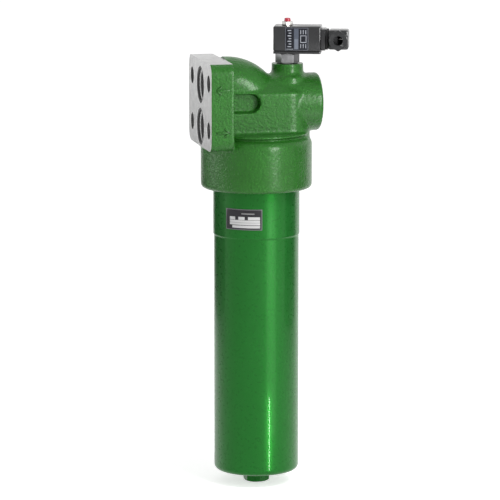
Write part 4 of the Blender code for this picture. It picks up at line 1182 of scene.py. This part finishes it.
def seen_mix(tree, rays, unseen, seen):
    """One shader for the named kinds of ray, and another for the rest."""
    path = tree.nodes.new("ShaderNodeLightPath").outputs
    share = path[rays[0]]
    for ray in rays[1:]:
        share = maths(tree, "MAXIMUM", share, path[ray])
    mix = tree.nodes.new("ShaderNodeMixShader")
    for socket, value in zip(mix.inputs, (share, unseen, seen)):
        fill(tree, socket, value)
    return mix.outputs[0]


def make_studio():
    """Pale floor, white surroundings and soft light."""
    scene = bpy.context.scene
    scene.view_settings.view_transform = "Standard"
    world = bpy.data.worlds.new("studio")
    scene.world = world
    world.use_nodes = True
    tree = world.node_tree
    tree.nodes.clear()
    soft = add_node(tree, "ShaderNodeBackground", Color=(1, 1, 1, 1), Strength=soft_light)
    white = add_node(tree, "ShaderNodeBackground", Color=(1, 1, 1, 1), Strength=1.0)
    light = seen_mix(tree, ("Is Camera Ray", "Is Glossy Ray", "Is Transmission Ray"), soft, white)
    put(tree, tree.nodes.new("ShaderNodeOutputWorld"), Surface=light)
    make_floor()
    for row in fill_lamps:
        lamp(*row).visible_glossy = False
    for row in gloss_lamps:
        lamp(*row).visible_diffuse = False
    for start, end in card_feet:
        make_dark_card(start, end)


def make_dark_card(start, end):
    """A black card that stands beside the object and keeps the edges of its paint dark."""
    grid = bmesh.new()
    foot = cad_box[0][2]
    corners = [(*start, foot), (*end, foot), (*end, card_height), (*start, card_height)]
    grid.faces.new([grid.verts.new(corner) for corner in corners])
    black = tree_of("black_card", Roughness=0.9, Base_Color=(0.01, 0.01, 0.01, 1.0))[0]
    card = piece("card", grid, black)
    card.visible_camera = False
    card.visible_shadow = False


def make_floor():
    """A pale floor that takes the object's shadow, and that glows a little where it is seen."""
    grid = bmesh.new()
    bmesh.ops.create_grid(grid, x_segments=1, y_segments=1, size=floor_size)
    bmesh.ops.translate(grid, verts=grid.verts, vec=(0, 0, cad_box[0][2] - floor_gap))
    material, tree, shader = tree_of("floor_paper", Roughness=0.9, Base_Color=(0.9, 0.9, 0.9, 1.0))
    glowing = tree.nodes.new("ShaderNodeAddShader")
    glow = add_node(tree, "ShaderNodeEmission", Strength=floor_glow)
    for socket, value in zip(glowing.inputs, (shader.outputs[0], glow)):
        fill(tree, socket, value)
    paper = seen_mix(tree, ("Is Camera Ray", "Is Glossy Ray"), shader.outputs[0], glowing.outputs[0])
    put(tree, tree.nodes["Material Output"], Surface=paper)
    piece("floor", grid, material)


def aimed(name, data, place, target):
    """Sets a lamp or a camera up so that it looks at a target."""
    obj = bpy.data.objects.new(name, data)
    obj.location = place
    aim = Vector(target) - Vector(place)
    obj.rotation_euler = aim.to_track_quat("-Z", "Y").to_euler()
    bpy.context.scene.collection.objects.link(obj)
    return obj


def lamp(name, place, width, height, watts, target):
    """A flat lamp that the camera doesn't see."""
    data = bpy.data.lights.new(name, "AREA")
    data.shape = "RECTANGLE"
    data.size = width
    data.size_y = height
    data.energy = watts
    obj = aimed(name, data, place, target)
    obj.visible_camera = False
    return obj


def make_camera():
    """The camera, at the photo's angle."""
    data = bpy.data.cameras.new("camera")
    data.lens = camera_lens
    data.sensor_width = sensor_width
    data.clip_end = 100.0
    bpy.context.scene.camera = aimed("camera", data, camera_place, camera_target)


dress_nodes()
make_casting()
make_flow_arrows()
make_bowl()
make_port_rings()
make_data_plate()
make_label()
make_eased_pieces()
make_springs()
make_pleats()
make_studio()
make_camera()
